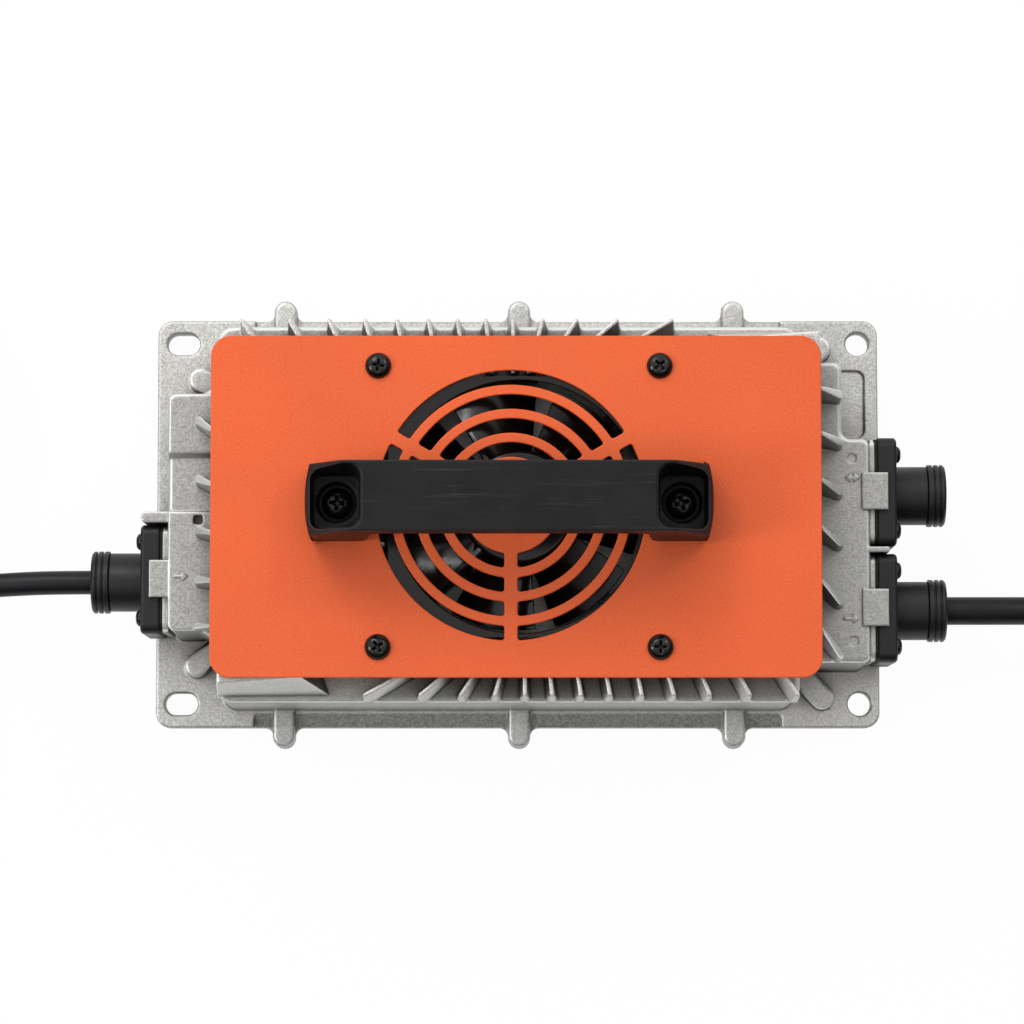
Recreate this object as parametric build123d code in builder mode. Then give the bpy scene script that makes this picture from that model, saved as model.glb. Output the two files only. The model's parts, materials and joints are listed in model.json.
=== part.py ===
"""Waterproof lithium battery charger.

A die-cast housing carries spiral cooling fins on its deck. A fan sits among the fins under a slotted
plate, a bridge handle is screwed through the plate, and flanged glands take the cables at both ends.
Millimetres. +X towards the output end, +Y across, +Z up. The origin is on the underside of the base
cover, at the centre of the base flange.
"""

from build123d import *
import math
import os

os.makedirs("parts", exist_ok=True)

# Base cover and base flange
flange_length = 265.0
flange_width = 150.0
flange_corner = 5.5
flange_thickness = 5.5
cover_thickness = 2.5
tab_places = (-85.5, 0.5, 79.2)
tab_width = 8.2
tab_reach = 7.2
tab_flare = 3.0
tab_boss_height = 2.0
tab_boss_round = 1.6
flange_edge = 0.8
rim_slope_width = 5.5
rim_slope_drop = 3.0
rim_slope_margin = 36.0
slot_hole_place = (-123.1, 66.3)
slot_hole_length = 12.0
slot_hole_width = 8.0
round_hole_place = (125.1, 66.3)
round_hole_radius = 4.25
boss_radius = 4.4
boss_height = 7.0
boss_places = ((-116.3, 52.4), (110.6, 63.9), (-117.2, -52.5), (111.0, -64.1))
boss_neck_ends = ((-105.5, 47.0), (101.0, 55.0), (-106.5, -44.0), (102.0, -54.5))
boss_round = 1.5
recess_size = (14.5, 25.0)
recess_depth = 1.2
recess_place = (120.3, 44.0)

# Housing body
body_left = -107.6
body_right = 100.5
body_half_width = 67.4
wall_draft = 1.5
deck_top = 51.0
deck_thickness = 4.0
wall = 3.5
body_corner = 5.5
edge_round = 1.8
left_block_end = -125.0
left_block_low = -42.0
left_block_high = 43.0
left_step_high = 18.5
left_step_low = 0.9
left_step_rise = 2.6
left_step_ramp = 3.4
left_step_round = 1.3
left_pad_round = 1.0
left_pad_rise = 1.3
right_block_end = 126.0
right_block_low = -53.2
right_block_high = 27.0
upper_block_end = 116.0
upper_block_high = 54.5
block_corner = 3.0
block_hollow = 7.5
pin_mark_places = ((120.0, -45.5), (119.5, 20.0))
pin_mark_radius = 1.7
pin_mark_depth = 0.4
notch_place = (-114.2, -2.2)
notch_size = (3.4, 3.4)
notch_depth = 3.0
corner_mass_foot = ((-107.2, -65.7), (-66.0, -65.7), (-70.0, -52.0), (-107.2, -52.0))
corner_mass_top = ((-105.4, -62.2), (-76.0, -59.8), (-80.0, -52.5), (-105.4, -52.5))
corner_mass_round = 0.9

# Fins
fin_foot_width = 4.5
fin_draft = 2.8
fin_tip_inset = 1.6
fin_top_gap = 2.0
fin_lean = 24.0
fin_calm_centre = -5.0
fin_calm_width = 40.0
fin_start_radius = 47.0
fin_reach = 116.2
fin_rake_start = 107.0
fin_rake_drop = 20.0
fin_tips_reach = 69.8
fin_tips_across = (-99.7, -82.3, -67.9, -54.9, -43.2, -32.1, -21.8, -11.7, -1.7, 9.9, 23.3, 39.9, 62.3)
fin_tips_along = (41.5, 24.6, 6.9, -11.3, -32.0, -51.0)

# Fan
fan_centre = (0.35, 0.0)
fan_size = 92.0
fan_thickness = 25.0
fan_corner = 4.0
fan_hole_pitch = 82.5
fan_hole_radius = 2.15
fan_driver_radius = 4.2
fan_duct_radius = 44.5
fan_flange_thickness = 4.0
fan_tube_wall = 1.4
fan_air_gap = 6.2
fan_pocket_gap = 1.2
fan_post_radius = 4.2
hub_radius = 20.0
hub_wall = 1.8
hub_cap = 2.0
hub_low = 4.2
hub_top_gap = 0.9
blade_count = 7
blade_tip_gap = 1.3
blade_thickness = 1.5
blade_low = 5.0
blade_height = 17.0
blade_root_angle = 46.0
blade_tip_angle = 27.0
strut_width = 4.5
strut_thickness = 3.2
strut_angles = (45.0, 135.0, 225.0, 315.0)
cup_thickness = 2.6
shaft_radius = 1.5
shaft_fit = 0.03
bearing_radius = 4.0
bearing_height = 3.0
bearing_tube_wall = 1.3
bearing_tube_height = 16.5
bearing_bore = bearing_radius + shaft_fit
blade_camber = 0.16
hub_boss_height = 3.0
stator_slot_width = 2.2
magnet_thickness = 2.6
magnet_height = 11.0
stator_radius = 14.4
stator_height = 9.0
stator_pole_count = 4

# Top plate and grille
plate_length = 214.0
plate_width = 120.0
plate_thickness = 1.5
plate_corner = 7.0
plate_centre = (-0.7, 0.0)
plate_gap = 0.3
plate_screw_pitch = 98.7
grille_centre = (-2.45, 0.35)
grille_first_radius = 17.0
grille_ring_pitch = 8.45
grille_slot_width = 5.1
grille_rings = 4
grille_spoke_width = 4.65
grille_spoke_angles = (30.0, 150.0, 270.0)
grille_slot_round = 1.0
post_radius = 5.0
handle_post_radius = 6.0

# Handle
handle_centre = (-3.05, 0.5)
handle_screw_pitch = 120.0
handle_length = 141.8
handle_top_length = 104.0
handle_height = 38.0
handle_shoulder = 16.0
handle_top_width = 24.3
handle_foot_width = 25.8
handle_grip_thickness = 11.0
handle_gap_foot = 99.6
handle_gap_top = 95.0
handle_gap_round = 7.0
handle_top_round = 5.0
handle_end_bulge = 2.2
handle_end_round = 2.5
handle_shoulder_round = 4.0
pocket_wall = 2.3
pocket_end_wall = 2.6
pocket_inner_wall = 2.6
pocket_floor = 8.0
pocket_draft = 3.0
pocket_corner = 3.0
counterbore_radius = 6.85
counterbore_depth = 4.0

# Glands
gland_axis_height = 30.0
gland_size = 39.0
gland_corner = 3.5
gland_flange_thickness = 7.0
gland_edge = 0.8
gland_barrel_radius = 10.55
gland_barrel_length = 12.4
gland_bore_radius = 7.0
gland_spigot_radius = 8.6
gland_spigot_length = 8.0
gland_spigot_gap = 0.25
gland_screw_pitch = 27.4
gland_seat = 2.0
gasket_thickness = 1.0
nut_radius = 11.25
nut_length = 6.3
nut_ring_count = 3
nut_groove_width = 0.7
nut_groove_depth = 0.8
input_axis = -23.2
signal_axis = 8.2
output_axis = -33.5
finger_width = 13.2
finger_reach = 3.6
finger_thickness = 2.2
guard_thickness = 4.0
guard_reach = 9.8
guard_round = 1.8
divider_round_share = 0.4
guard_top_share = 0.3
divider_reach = 7.0

# Screws
screw_gap = 0.1
m3_radius = 1.5
m3_head_radius = 2.8
m3_head_height = 2.0
m4_radius = 2.0
m4_head_radius = 3.5
m4_head_height = 2.4
m4_cone_radius = 3.9
m4_cone_height = 2.1
m5_radius = 2.5
m5_head_radius = 4.6
m5_head_height = 3.1
m6_radius = 3.0
m6_head_radius = 5.6
m6_head_height = 3.6
gland_screw_radius = 1.75
gland_screw_head_radius = 3.1
gland_screw_head_height = 1.9
through_gap = 0.3
clear_gap = 0.3
cross_width = 1.0
base_screw_length = 8.6
fan_screw_reach = 8.0
plate_screw_reach = 13.0
handle_screw_reach = 22.0
board_screw_reach = 8.0
gland_screw_reach = 4.4

# Seal and board
seal_inset = 3.2
seal_width = 2.8
seal_height = 1.6
seal_gap = 0.1
board_underside = 9.0
board_thickness = 1.6
board_margin = 5.5
board_post_radius = 4.0
board_post_places = ((-92.0, 50.0), (-92.0, -50.0), (86.0, 50.0), (86.0, -50.0))

# Board components
transformer_place = (20.0, -6.0)
transformer_size = (46.0, 40.0, 33.0)
transformer_yoke = 7.0
transformer_leg = 12.0
winding_gap = 0.4
winding_corner = 5.0
choke_place = (-48.0, -26.0)
choke_radius = 18.0
choke_bore = 8.0
choke_height = 12.0
choke_wire = 2.4
choke_turns = 16
filter_place = (-76.0, 6.0)
filter_size = (22.0, 18.0, 22.0)
bulk_places = ((-50.0, 18.0), (-21.0, 18.0))
bulk_radius = 12.5
bulk_height = 32.0
output_can_places = ((58.0, -22.0), (58.0, -3.0), (58.0, 16.0))
output_can_radius = 8.0
output_can_height = 28.0
can_crimp = 0.8
can_round = 3.0
heat_bar_length = 136.0
heat_bar_thickness = 5.0
heat_bar_height = 20.0
heat_bar_low = 14.0
transistor_size = (15.9, 5.0, 20.0)
transistor_count = 4
transistor_pitch = 24.0
transistor_start = -14.0
rectifier_size = (30.0, 6.0, 20.0)
rectifier_place = -48.0
leg_width = 1.2
relay_place = (-77.0, 34.0)
relay_size = (19.0, 15.0, 15.5)
fuse_place = (-77.0, -44.0)
fuse_length = 20.0
fuse_radius = 2.6
terminal_size = (14.0, 22.0, 14.0)
input_terminal_x = -90.0
output_terminal_x = 80.0
input_pole_offsets = (-7.2, 0.0, 7.2)
output_pole_offsets = (-5.5, 5.5)
input_wire_radius = 1.2
output_wire_radius = 2.0
sheath_wall = 0.5
sheath_end_reach = 118.0
wire_run = 6.0
fan_lead_place = (-21.0, -21.0)
fan_lead_plug = (7.0, 6.0, 7.0)
fan_grommet_radius = 5.0
fan_grommet_lip = 1.2
fan_lead_wire_radius = 1.1

# Cables, as one route each: out of the nut, down to the coil's top layer
input_cable_radius = 4.3
output_cable_radius = 5.05
input_points = (
    (-153.7, -23.2, 30.0),
    (-168.0, -23.2, 30.0),
    (-184.0, -23.8, 28.4),
    (-202.0, -24.9, 25.4),
    (-222.0, -25.6, 23.4),
    (-244.0, -25.3, 22.9),
)
output_points = (
    (154.4, -33.5, 30.0),
    (171.0, -33.5, 30.0),
    (189.0, -33.3, 27.4),
    (208.0, -33.5, 22.7),
    (229.0, -34.2, 18.4),
    (252.0, -34.6, 16.6),
)
coil_diameters = 11.0
coil_tracks = 2
coil_lift = 1.4
coil_round = 3.0
input_coil_x = -254.0
output_coil_x = 262.0
input_coil_layers = 3
output_coil_layers = 2
tie_width = 14.0
tie_gap = 0.7
input_tie_angles = (80.0, 190.0)
output_tie_angles = (100.0, -10.0)
input_tail_points = (
    (-210.5, 42.0, 22.9),
    (-213.5, 29.0, 28.2),
    (-219.5, 16.5, 36.2),
    (-230.0, 3.5, 41.0),
    (-242.8, -8.3, 41.0),
)
output_tail_points = (
    (212.0, 46.0, 16.6),
    (215.0, 30.5, 20.5),
    (222.0, 15.0, 27.5),
    (233.5, 1.5, 31.4),
    (247.0, -9.8, 31.4),
)
plug_length = 42.0
plug_width = 27.0
plug_height = 27.0
plug_round = 5.0
plug_edge = 1.0
plug_neck_radius = 7.0
plug_neck_length = 10.0
pin_radius = 2.4
pin_length = 17.0
pin_pitch = 12.7
pin_rise = 4.0
blade_pin_width = 6.3
blade_pin_thickness = 1.5
earth_pin_offset = 11.9
connector_length = 44.0
connector_width = 34.0
connector_height = 19.0
contact_radius = 3.2
contact_length = 6.0
contact_room = 1.3

# Heights that follow from the sizes above
flange_top = cover_thickness + flange_thickness
ceiling = deck_top - deck_thickness
fan_seat = deck_top + fan_air_gap
fan_top = fan_seat + fan_thickness
plate_bottom = fan_top + plate_gap
plate_top = plate_bottom + plate_thickness
fin_top = plate_bottom - fin_top_gap
board_top = board_underside + board_thickness
floor_of_pocket = plate_top + pocket_floor
handle_top = plate_top + handle_height
left_seat_face = left_block_end - gland_seat
right_seat_face = right_block_end + gland_seat - 0.3
tab_centre = flange_width / 2 + tab_reach - tab_width / 2
housing_blocks = (
    (body_left, body_right, -body_half_width, body_half_width),
    (left_block_end, 0.0, left_block_low, left_block_high),
    (0.0, right_block_end, right_block_low, right_block_high),
    (0.0, upper_block_end, 0.0, upper_block_high),
)
wall_spread = (deck_top - cover_thickness) * math.tan(math.radians(wall_draft))
plate_screw_places = [
    (fan_centre[0] + sx * plate_screw_pitch / 2, fan_centre[1] + sy * plate_screw_pitch / 2)
    for sx in (-1, 1)
    for sy in (-1, 1)
]
handle_screw_places = [(handle_centre[0] + s * handle_screw_pitch / 2, handle_centre[1]) for s in (-1, 1)]
fan_hole_places = [
    (fan_centre[0] + sx * fan_hole_pitch / 2, fan_centre[1] + sy * fan_hole_pitch / 2)
    for sx in (-1, 1)
    for sy in (-1, 1)
]
base_screw_places = [(x, s * tab_centre) for x in tab_places for s in (-1, 1)] + list(boss_places)
slot_hole_places = [(slot_hole_place[0], s * slot_hole_place[1]) for s in (-1, 1)]
round_hole_places = [(round_hole_place[0], s * round_hole_place[1]) for s in (-1, 1)]


def save(piece, name):
    """Label a finished piece and write its STEP file."""
    piece.part.label = name
    export_step(piece.part, f"parts/{name}.step")


def box_sketch(x_low, x_high, y_low, y_high):
    """A rectangle given by its edges, in the sketch that is open."""
    with Locations(((x_low + x_high) / 2, (y_low + y_high) / 2)):
        Rectangle(x_high - x_low, y_high - y_low)


def flange_sketch(plane):
    """The outline that the base flange and its cover share, with tabs and mounting holes."""
    with BuildSketch(plane) as outline:
        RectangleRounded(flange_length, flange_width, flange_corner)
        guard_middle = left_step_low - guard_thickness / 2
        box_sketch(
            left_block_end - guard_reach,
            left_block_end,
            guard_middle - guard_thickness / 2,
            guard_middle + guard_thickness / 2,
        )
        for x in tab_places:
            with Locations((x, 0)):
                Rectangle(tab_width, 2 * tab_centre)
            roots = [v for v in outline.vertices() if abs(abs(v.Y) - flange_width / 2) < 0.01]
            roots = [v for v in roots if abs(abs(v.X - x) - tab_width / 2) < 0.01]
            fillet(roots, tab_flare)
        with Locations(*[(x, s * tab_centre) for x in tab_places for s in (-1, 1)]):
            Circle(tab_width / 2)
        with Locations(*slot_hole_places):
            SlotOverall(slot_hole_length, slot_hole_width, mode=Mode.SUBTRACT)
        with Locations(*round_hole_places):
            Circle(round_hole_radius, mode=Mode.SUBTRACT)
    return outline


def cavity_sketch(plane, grow=0.0):
    """The inside of the housing in plan, larger all round by grow."""
    inset = wall - grow
    with BuildSketch(plane) as cavity:
        box_sketch(body_left + inset, body_right - inset, inset - body_half_width, body_half_width - inset)
        box_sketch(left_block_end + inset, 0, left_block_low + inset, left_block_high - inset)
        box_sketch(0, right_block_end - inset, right_block_low + inset, right_block_high - inset)
        box_sketch(0, upper_block_end - inset, 0, upper_block_high - inset)
        fillet(cavity.vertices(), 2.0)
    return cavity


def seal_sketch(plane, clearance):
    """The ring of the base seal, wider by clearance on both sides."""
    with BuildSketch(plane) as ring:
        add(cavity_sketch(Plane.XY, seal_inset + seal_width + clearance).sketch)
        add(cavity_sketch(Plane.XY, seal_inset - clearance).sketch, mode=Mode.SUBTRACT)
    return ring


def turned(x, y):
    """The same point half a turn round the fan."""
    return 2 * fan_centre[0] - x, 2 * fan_centre[1] - y


def fin_line(tip_x, tip_y):
    """A fin's tip, its start beside the fan and its direction at the tip, pointing inwards."""
    dx = tip_x - fan_centre[0]
    dy = tip_y - fan_centre[1]
    reach = math.hypot(dx, dy)
    bearing = math.atan2(dx, dy)
    calm = 1.0
    if abs(tip_y) > fin_reach / 2:
        calm = min(1.0, max(0.06, abs(tip_x - fin_calm_centre) / fin_calm_width))
    lean = math.radians(fin_lean) * calm
    start = bearing - math.tan(lean) * math.log(reach / fin_start_radius)
    heading = bearing + lean
    tip = (tip_x, tip_y)
    root = (
        fan_centre[0] + fin_start_radius * math.sin(start),
        fan_centre[1] + fin_start_radius * math.cos(start),
    )
    return tip, root, (-math.sin(heading), -math.cos(heading))


def fin_lines():
    """All fins: those of one half turn, from the top left round to the lower right, and the same turned."""
    across = [fin_line(x, fin_tips_reach) for x in fin_tips_across]
    along = [fin_line(fin_reach - fin_foot_width / 2, y) for y in fin_tips_along]
    half = across + along
    return half + [(turned(*tip), turned(*root), (-inwards[0], -inwards[1])) for tip, root, inwards in half]


def fin_inside_wall(arc):
    """The part of a fin's arc that stays inside the long walls."""
    limit = body_half_width - fin_tip_inset
    low, high = 0.0, 1.0
    if abs(arc.position_at(0).Y) <= limit:
        return arc
    for _ in range(30):
        middle = (low + high) / 2
        if abs(arc.position_at(middle).Y) > limit:
            low = middle
        else:
            high = middle
    return arc.trim(high, 1.0)


def housing_outline(plane):
    """The housing in plan at the height of the deck: body and side blocks, with sharp corners."""
    with BuildSketch(plane) as outline:
        for x_low, x_high, y_low, y_high in housing_blocks:
            box_sketch(x_low, x_high, y_low, y_high)
    return outline


def pan_screws(places, out, radius, head_radius, head_height, reach):
    """A group of pan-head screws with cross recesses, seated at places, heads pointing along out."""
    planes = [Plane(place, z_dir=out) for place in places]
    with BuildPart() as screws:
        with Locations(*planes):
            Cylinder(head_radius, head_height, align=(Align.CENTER, Align.CENTER, Align.MIN))
        rims = screws.edges().filter_by(GeomType.CIRCLE).group_by(Axis((0, 0, 0), out))[-1]
        fillet(rims, head_height * 0.6)
        with Locations(*[plane.offset(head_height) for plane in planes]):
            Box(head_radius, cross_width, head_height, mode=Mode.SUBTRACT)
            Box(cross_width, head_radius, head_height, mode=Mode.SUBTRACT)
        with Locations(*planes):
            Cylinder(radius, reach, align=(Align.CENTER, Align.CENTER, Align.MAX))
    return screws


def gland_plane(face_x, side, axis_y):
    """The plane of a gland's seat, looking outwards, with local Y up."""
    return Plane((face_x, axis_y, gland_axis_height), x_dir=(0, side, 0), z_dir=(side, 0, 0))


def gland_screw_offsets():
    """The four screws of a gland flange, on its own plane."""
    return GridLocations(gland_screw_pitch, gland_screw_pitch, 2, 2)


def save_gland(name, seat, liner_radius, liner_name):
    """Gasket, flanged body, ringed nut, liner and screws of one gland, on its seat plane."""
    flange_face = seat.offset(gasket_thickness)
    barrel_face = flange_face.offset(gland_flange_thickness)
    nut_face = barrel_face.offset(gland_barrel_length)
    spigot_end = flange_face.offset(-gland_spigot_length)

    with BuildPart() as gasket:
        with BuildSketch(seat):
            RectangleRounded(gland_size - 1, gland_size - 1, gland_corner)
            Circle(gland_spigot_radius + gland_spigot_gap, mode=Mode.SUBTRACT)
            with gland_screw_offsets():
                Circle(gland_screw_radius + screw_gap, mode=Mode.SUBTRACT)
        extrude(amount=gasket_thickness)
    save(gasket, f"{name}_gasket")

    with BuildPart() as body:
        with BuildSketch(flange_face):
            RectangleRounded(gland_size, gland_size, gland_corner)
        extrude(amount=gland_flange_thickness)
        chamfer(body.faces().sort_by(Axis((0, 0, 0), seat.z_dir))[-1].edges(), gland_edge)
        with BuildSketch(barrel_face.offset(-gland_edge)):
            Circle(gland_barrel_radius)
        extrude(amount=gland_barrel_length + gland_edge)
        with BuildSketch(spigot_end):
            Circle(gland_spigot_radius)
        extrude(amount=gland_spigot_length)
        with BuildSketch(spigot_end):
            Circle(gland_bore_radius)
        extrude(amount=gland_spigot_length + gland_flange_thickness + gland_barrel_length, mode=Mode.SUBTRACT)
        with BuildSketch(flange_face):
            with gland_screw_offsets():
                Circle(gland_screw_radius + screw_gap)
        extrude(amount=gland_flange_thickness, mode=Mode.SUBTRACT)
    save(body, f"{name}_gland")

    with BuildPart() as nut:
        with BuildSketch(nut_face):
            Circle(nut_radius)
        extrude(amount=nut_length)
        chamfer(nut.edges().group_by(Axis((0, 0, 0), seat.z_dir))[-1], nut_groove_depth)
        for ring in range(1, nut_ring_count):
            with BuildSketch(nut_face.offset(ring * nut_length / nut_ring_count - nut_groove_width / 2)):
                Circle(nut_radius + 1)
                Circle(nut_radius - nut_groove_depth, mode=Mode.SUBTRACT)
            extrude(amount=nut_groove_width, mode=Mode.SUBTRACT)
        with BuildSketch(nut_face):
            Circle(liner_radius if liner_name == "grommet" else gland_bore_radius)
        extrude(amount=nut_length, mode=Mode.SUBTRACT)
    save(nut, f"{name}_nut")

    liner_length = gland_spigot_length + gland_flange_thickness + gland_barrel_length
    with BuildPart() as liner:
        with BuildSketch(spigot_end):
            Circle(gland_bore_radius)
            if liner_name == "grommet":
                Circle(liner_radius, mode=Mode.SUBTRACT)
        blank_length = liner_length + nut_length - nut_groove_depth
        extrude(amount=liner_length if liner_name == "grommet" else blank_length)
    save(liner, f"{name}_{liner_name}")

    screw_seats = [barrel_face.from_local_coords((s * gland_screw_pitch / 2, t * gland_screw_pitch / 2, 0))
                   for s in (-1, 1) for t in (-1, 1)]
    screws = pan_screws(
        screw_seats,
        seat.z_dir,
        gland_screw_radius,
        gland_screw_head_radius,
        gland_screw_head_height,
        gland_flange_thickness + gasket_thickness + gland_screw_reach,
    )
    save(screws, f"{name}_gland_screws")


def corner_radii(points):
    """The radius of each corner of a cable's route: as large as its two runs allow."""
    radii = []
    for before, corner, after in zip(points, points[1:], points[2:]):
        arriving = Vector(*corner) - Vector(*before)
        leaving = Vector(*after) - Vector(*corner)
        half_turn = math.radians(arriving.get_angle(leaving)) / 2
        radii.append(0.45 * min(arriving.length, leaving.length) / math.tan(half_turn))
    return radii


def save_cable(name, points, radius):
    """A cable's tube along straight runs joined by tangent arcs."""
    radii = corner_radii(points)
    print(name, "bend radii", [round(r) for r in radii], "smallest allowed", 10 * radius)
    with BuildPart() as tube:
        with BuildLine() as route:
            FilletPolyline(*points, radius=radii)
        with BuildSketch(Plane(points[0], z_dir=Vector(*points[1]) - Vector(*points[0]))):
            Circle(radius)
        sweep(path=route.wire())
    expected = math.pi * radius**2 * route.wire().length
    share = tube.part.volume / expected
    print(name, "length", round(route.wire().length, 1), "volume share", round(share, 4))
    save(tube, name)


def coil_place(points, centre_x, radius):
    """Where a coil lies so that its outer track runs on from the cable's last point."""
    outer_track = coil_diameters * radius + (coil_tracks - 1) * radius
    return centre_x, points[-1][1] + outer_track


def save_coil(name, place, radius, layers, tie_angles):
    """The outer shape of a wound coil, and the ties round it that lift it off the floor."""
    middle = coil_diameters * radius
    half_width = coil_tracks * radius
    height = 2 * layers * radius
    with BuildPart() as ring:
        with BuildSketch(Plane.XY.offset(coil_lift)):
            with Locations(place):
                Circle(middle + half_width)
                Circle(middle - half_width, mode=Mode.SUBTRACT)
        extrude(amount=height)
        fillet(ring.edges(), coil_round)
    save(ring, f"{name}_coil")
    with BuildPart() as ties:
        for angle in tie_angles:
            turn = math.radians(angle)
            centre = (
                place[0] + middle * math.cos(turn),
                place[1] + middle * math.sin(turn),
                coil_lift + height / 2,
            )
            with Locations(Plane(centre, x_dir=(math.cos(turn), math.sin(turn), 0), z_dir=(0, 0, 1))):
                Box(2 * (half_width + tie_gap + coil_lift), tie_width, height + 2 * coil_lift)
                Box(2 * (half_width + tie_gap), tie_width, height, mode=Mode.SUBTRACT)
    save(ties, f"{name}_tie")


def end_plane(points):
    """The plane across the last point of a cable's tail, looking along it, with local Y up."""
    along = Vector(*points[-1]) - Vector(*points[-2])
    return Plane(points[-1], x_dir=Vector(0, 0, 1).cross(along), z_dir=along)


# Spiral fins: drafted arcs leaning away from the fan, raked down at both ends of the housing
with BuildPart() as fins:
    blades = []
    for tip, root, inwards in fin_lines():
        with BuildSketch(Plane.XY.offset(ceiling + 1), mode=Mode.PRIVATE) as foot:
            fin_line = Edge.make_tangent_arc(Vector(*tip), Vector(*inwards), Vector(*root))
            SlotArc(fin_inside_wall(fin_line), fin_foot_width)
        blade = extrude(foot.sketch, amount=fin_top - ceiling - 1, taper=fin_draft, mode=Mode.PRIVATE)
        blades.append(blade)
    add(blades)
    with BuildSketch(Plane.XZ) as rake:
        with BuildLine():
            Polyline(
                (-fin_reach, 0),
                (-fin_reach, fin_top - fin_rake_drop),
                (-fin_rake_start, fin_top),
                (fin_rake_start, fin_top),
                (fin_reach, fin_top - fin_rake_drop),
                (fin_reach, 0),
                close=True,
            )
        make_face()
    extrude(amount=body_half_width, both=True, mode=Mode.INTERSECT)
    extrude(housing_outline(Plane.XY).sketch, amount=fin_top, mode=Mode.INTERSECT)
    with BuildSketch(Plane.XY.offset(fan_seat)):
        with Locations(fan_centre):
            Rectangle(fan_size + 2 * fan_pocket_gap, fan_size + 2 * fan_pocket_gap)
    extrude(amount=fan_thickness, mode=Mode.SUBTRACT)

# Walls and deck of the housing: the long walls lean, the ends stand upright behind the glands
with BuildPart() as housing:
    for x_low, x_high, y_low, y_high in housing_blocks:
        with BuildSketch(Plane.YZ.offset(x_low)):
            with BuildLine():
                Polyline(
                    (y_low, deck_top),
                    (y_high, deck_top),
                    (y_high + wall_spread, cover_thickness),
                    (y_low - wall_spread, cover_thickness),
                    close=True,
                )
            make_face()
        extrude(amount=x_high - x_low)
    upright = housing.edges().filter_by(lambda e: abs(e.tangent_at(0.5).Z) > 0.99)
    at_left = upright.filter_by(lambda e: abs(e.center().X - body_left) < 0.1)
    body_corners = upright.filter_by(lambda e: abs(e.center().Y) > body_half_width)
    hollows = at_left.filter_by(lambda e: abs(e.center().Y) < body_half_width)
    block_corners = upright.filter_by(
        lambda e: abs(e.center().Y) < body_half_width and abs(e.center().X - body_left) > 0.1
    )
    fillet(body_corners, body_corner)
    fillet(hollows, block_hollow)
    fillet(block_corners, block_corner)
    fillet(housing.edges().group_by(Axis.Z)[-1], edge_round)

# Two raised levels on the deck of the left block: a step with a ramp, and a pad over the gland
with BuildPart() as left_step:
    with BuildSketch(Plane.YZ.offset(left_block_end)):
        with BuildLine():
            Polyline(
                (left_step_high, ceiling),
                (left_step_high, deck_top - edge_round),
                (left_step_high + left_step_ramp, deck_top + left_step_rise),
                (left_block_high, deck_top + left_step_rise),
                (left_block_high, ceiling),
                close=True,
            )
        make_face()
    extrude(amount=body_left - left_block_end)
    fillet(left_step.edges().filter_by(Axis.Z).sort_by(Axis.X)[:2].sort_by(Axis.Y)[-1], block_corner)
    fillet(left_step.edges().group_by(Axis.Z)[-1], left_step_round)

with BuildPart() as left_pad:
    with BuildSketch(Plane.XY.offset(ceiling)):
        box_sketch(left_block_end, body_left, left_block_low, left_step_low)
    extrude(amount=deck_thickness + left_pad_rise)
    fillet(left_pad.edges().filter_by(Axis.Z).sort_by(Axis.X)[:2].sort_by(Axis.Y)[0], block_corner)
    fillet(left_pad.edges().group_by(Axis.Z)[-1], left_pad_round)

# Solid corners of the fin field
with BuildPart() as corner_masses:
    for place in (lambda x, y: (x, y), turned):
        with BuildSketch(Plane.XY.offset(ceiling)):
            Polygon(*[place(x, y) for x, y in corner_mass_foot], align=None)
        with BuildSketch(Plane.XY.offset(fin_top)):
            Polygon(*[place(x, y) for x, y in corner_mass_top], align=None)
        loft(ruled=True)
    fillet(corner_masses.edges().group_by(Axis.Z)[-1], corner_mass_round)

# Round-ended bosses over the tabs, and round screw bosses on necks that run to the walls
with BuildPart() as bosses:
    with BuildSketch(Plane.XY.offset(cover_thickness)):
        for x in tab_places:
            for side in (-1, 1):
                with Locations((x, side * (tab_centre + body_half_width) / 2)):
                    Rectangle(tab_width, tab_centre - body_half_width)
                with Locations((x, side * tab_centre)):
                    Circle(tab_width / 2)
    extrude(amount=flange_thickness + tab_boss_height)
    fillet(bosses.edges().group_by(Axis.Z)[-1], tab_boss_round)
    with BuildSketch(Plane.XY.offset(cover_thickness)):
        for (x, y), (neck_x, neck_y) in zip(boss_places, boss_neck_ends):
            with Locations(((x + neck_x) / 2, (y + neck_y) / 2)):
                SlotCenterToCenter(
                    math.hypot(neck_x - x, neck_y - y),
                    2 * boss_radius,
                    rotation=math.degrees(math.atan2(neck_y - y, neck_x - x)),
                )
    extrude(amount=flange_thickness + boss_height)
    fillet(bosses.edges().group_by(Axis.Z)[-1], boss_round)

# Guard beside the input gland, divider between the output glands
with BuildPart() as guards:
    divider_high = signal_axis - gland_size / 2 - clear_gap
    divider_low = output_axis + gland_size / 2 + clear_gap
    with BuildSketch(Plane.XY.offset(cover_thickness)):
        box_sketch(left_block_end - guard_reach, body_left, left_step_low - guard_thickness, left_step_low)
        box_sketch(body_right, right_block_end + divider_reach, divider_low, divider_high)
    extrude(amount=deck_top - cover_thickness)
    outer_edges = guards.edges().filter_by(Axis.Z)
    fillet(outer_edges.sort_by(Axis.X)[:2], guard_round)
    fillet(outer_edges.sort_by(Axis.X)[-2:], (divider_high - divider_low) * divider_round_share)
    fillet(guards.edges().group_by(Axis.Z)[-1], (divider_high - divider_low) * guard_top_share)

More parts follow.
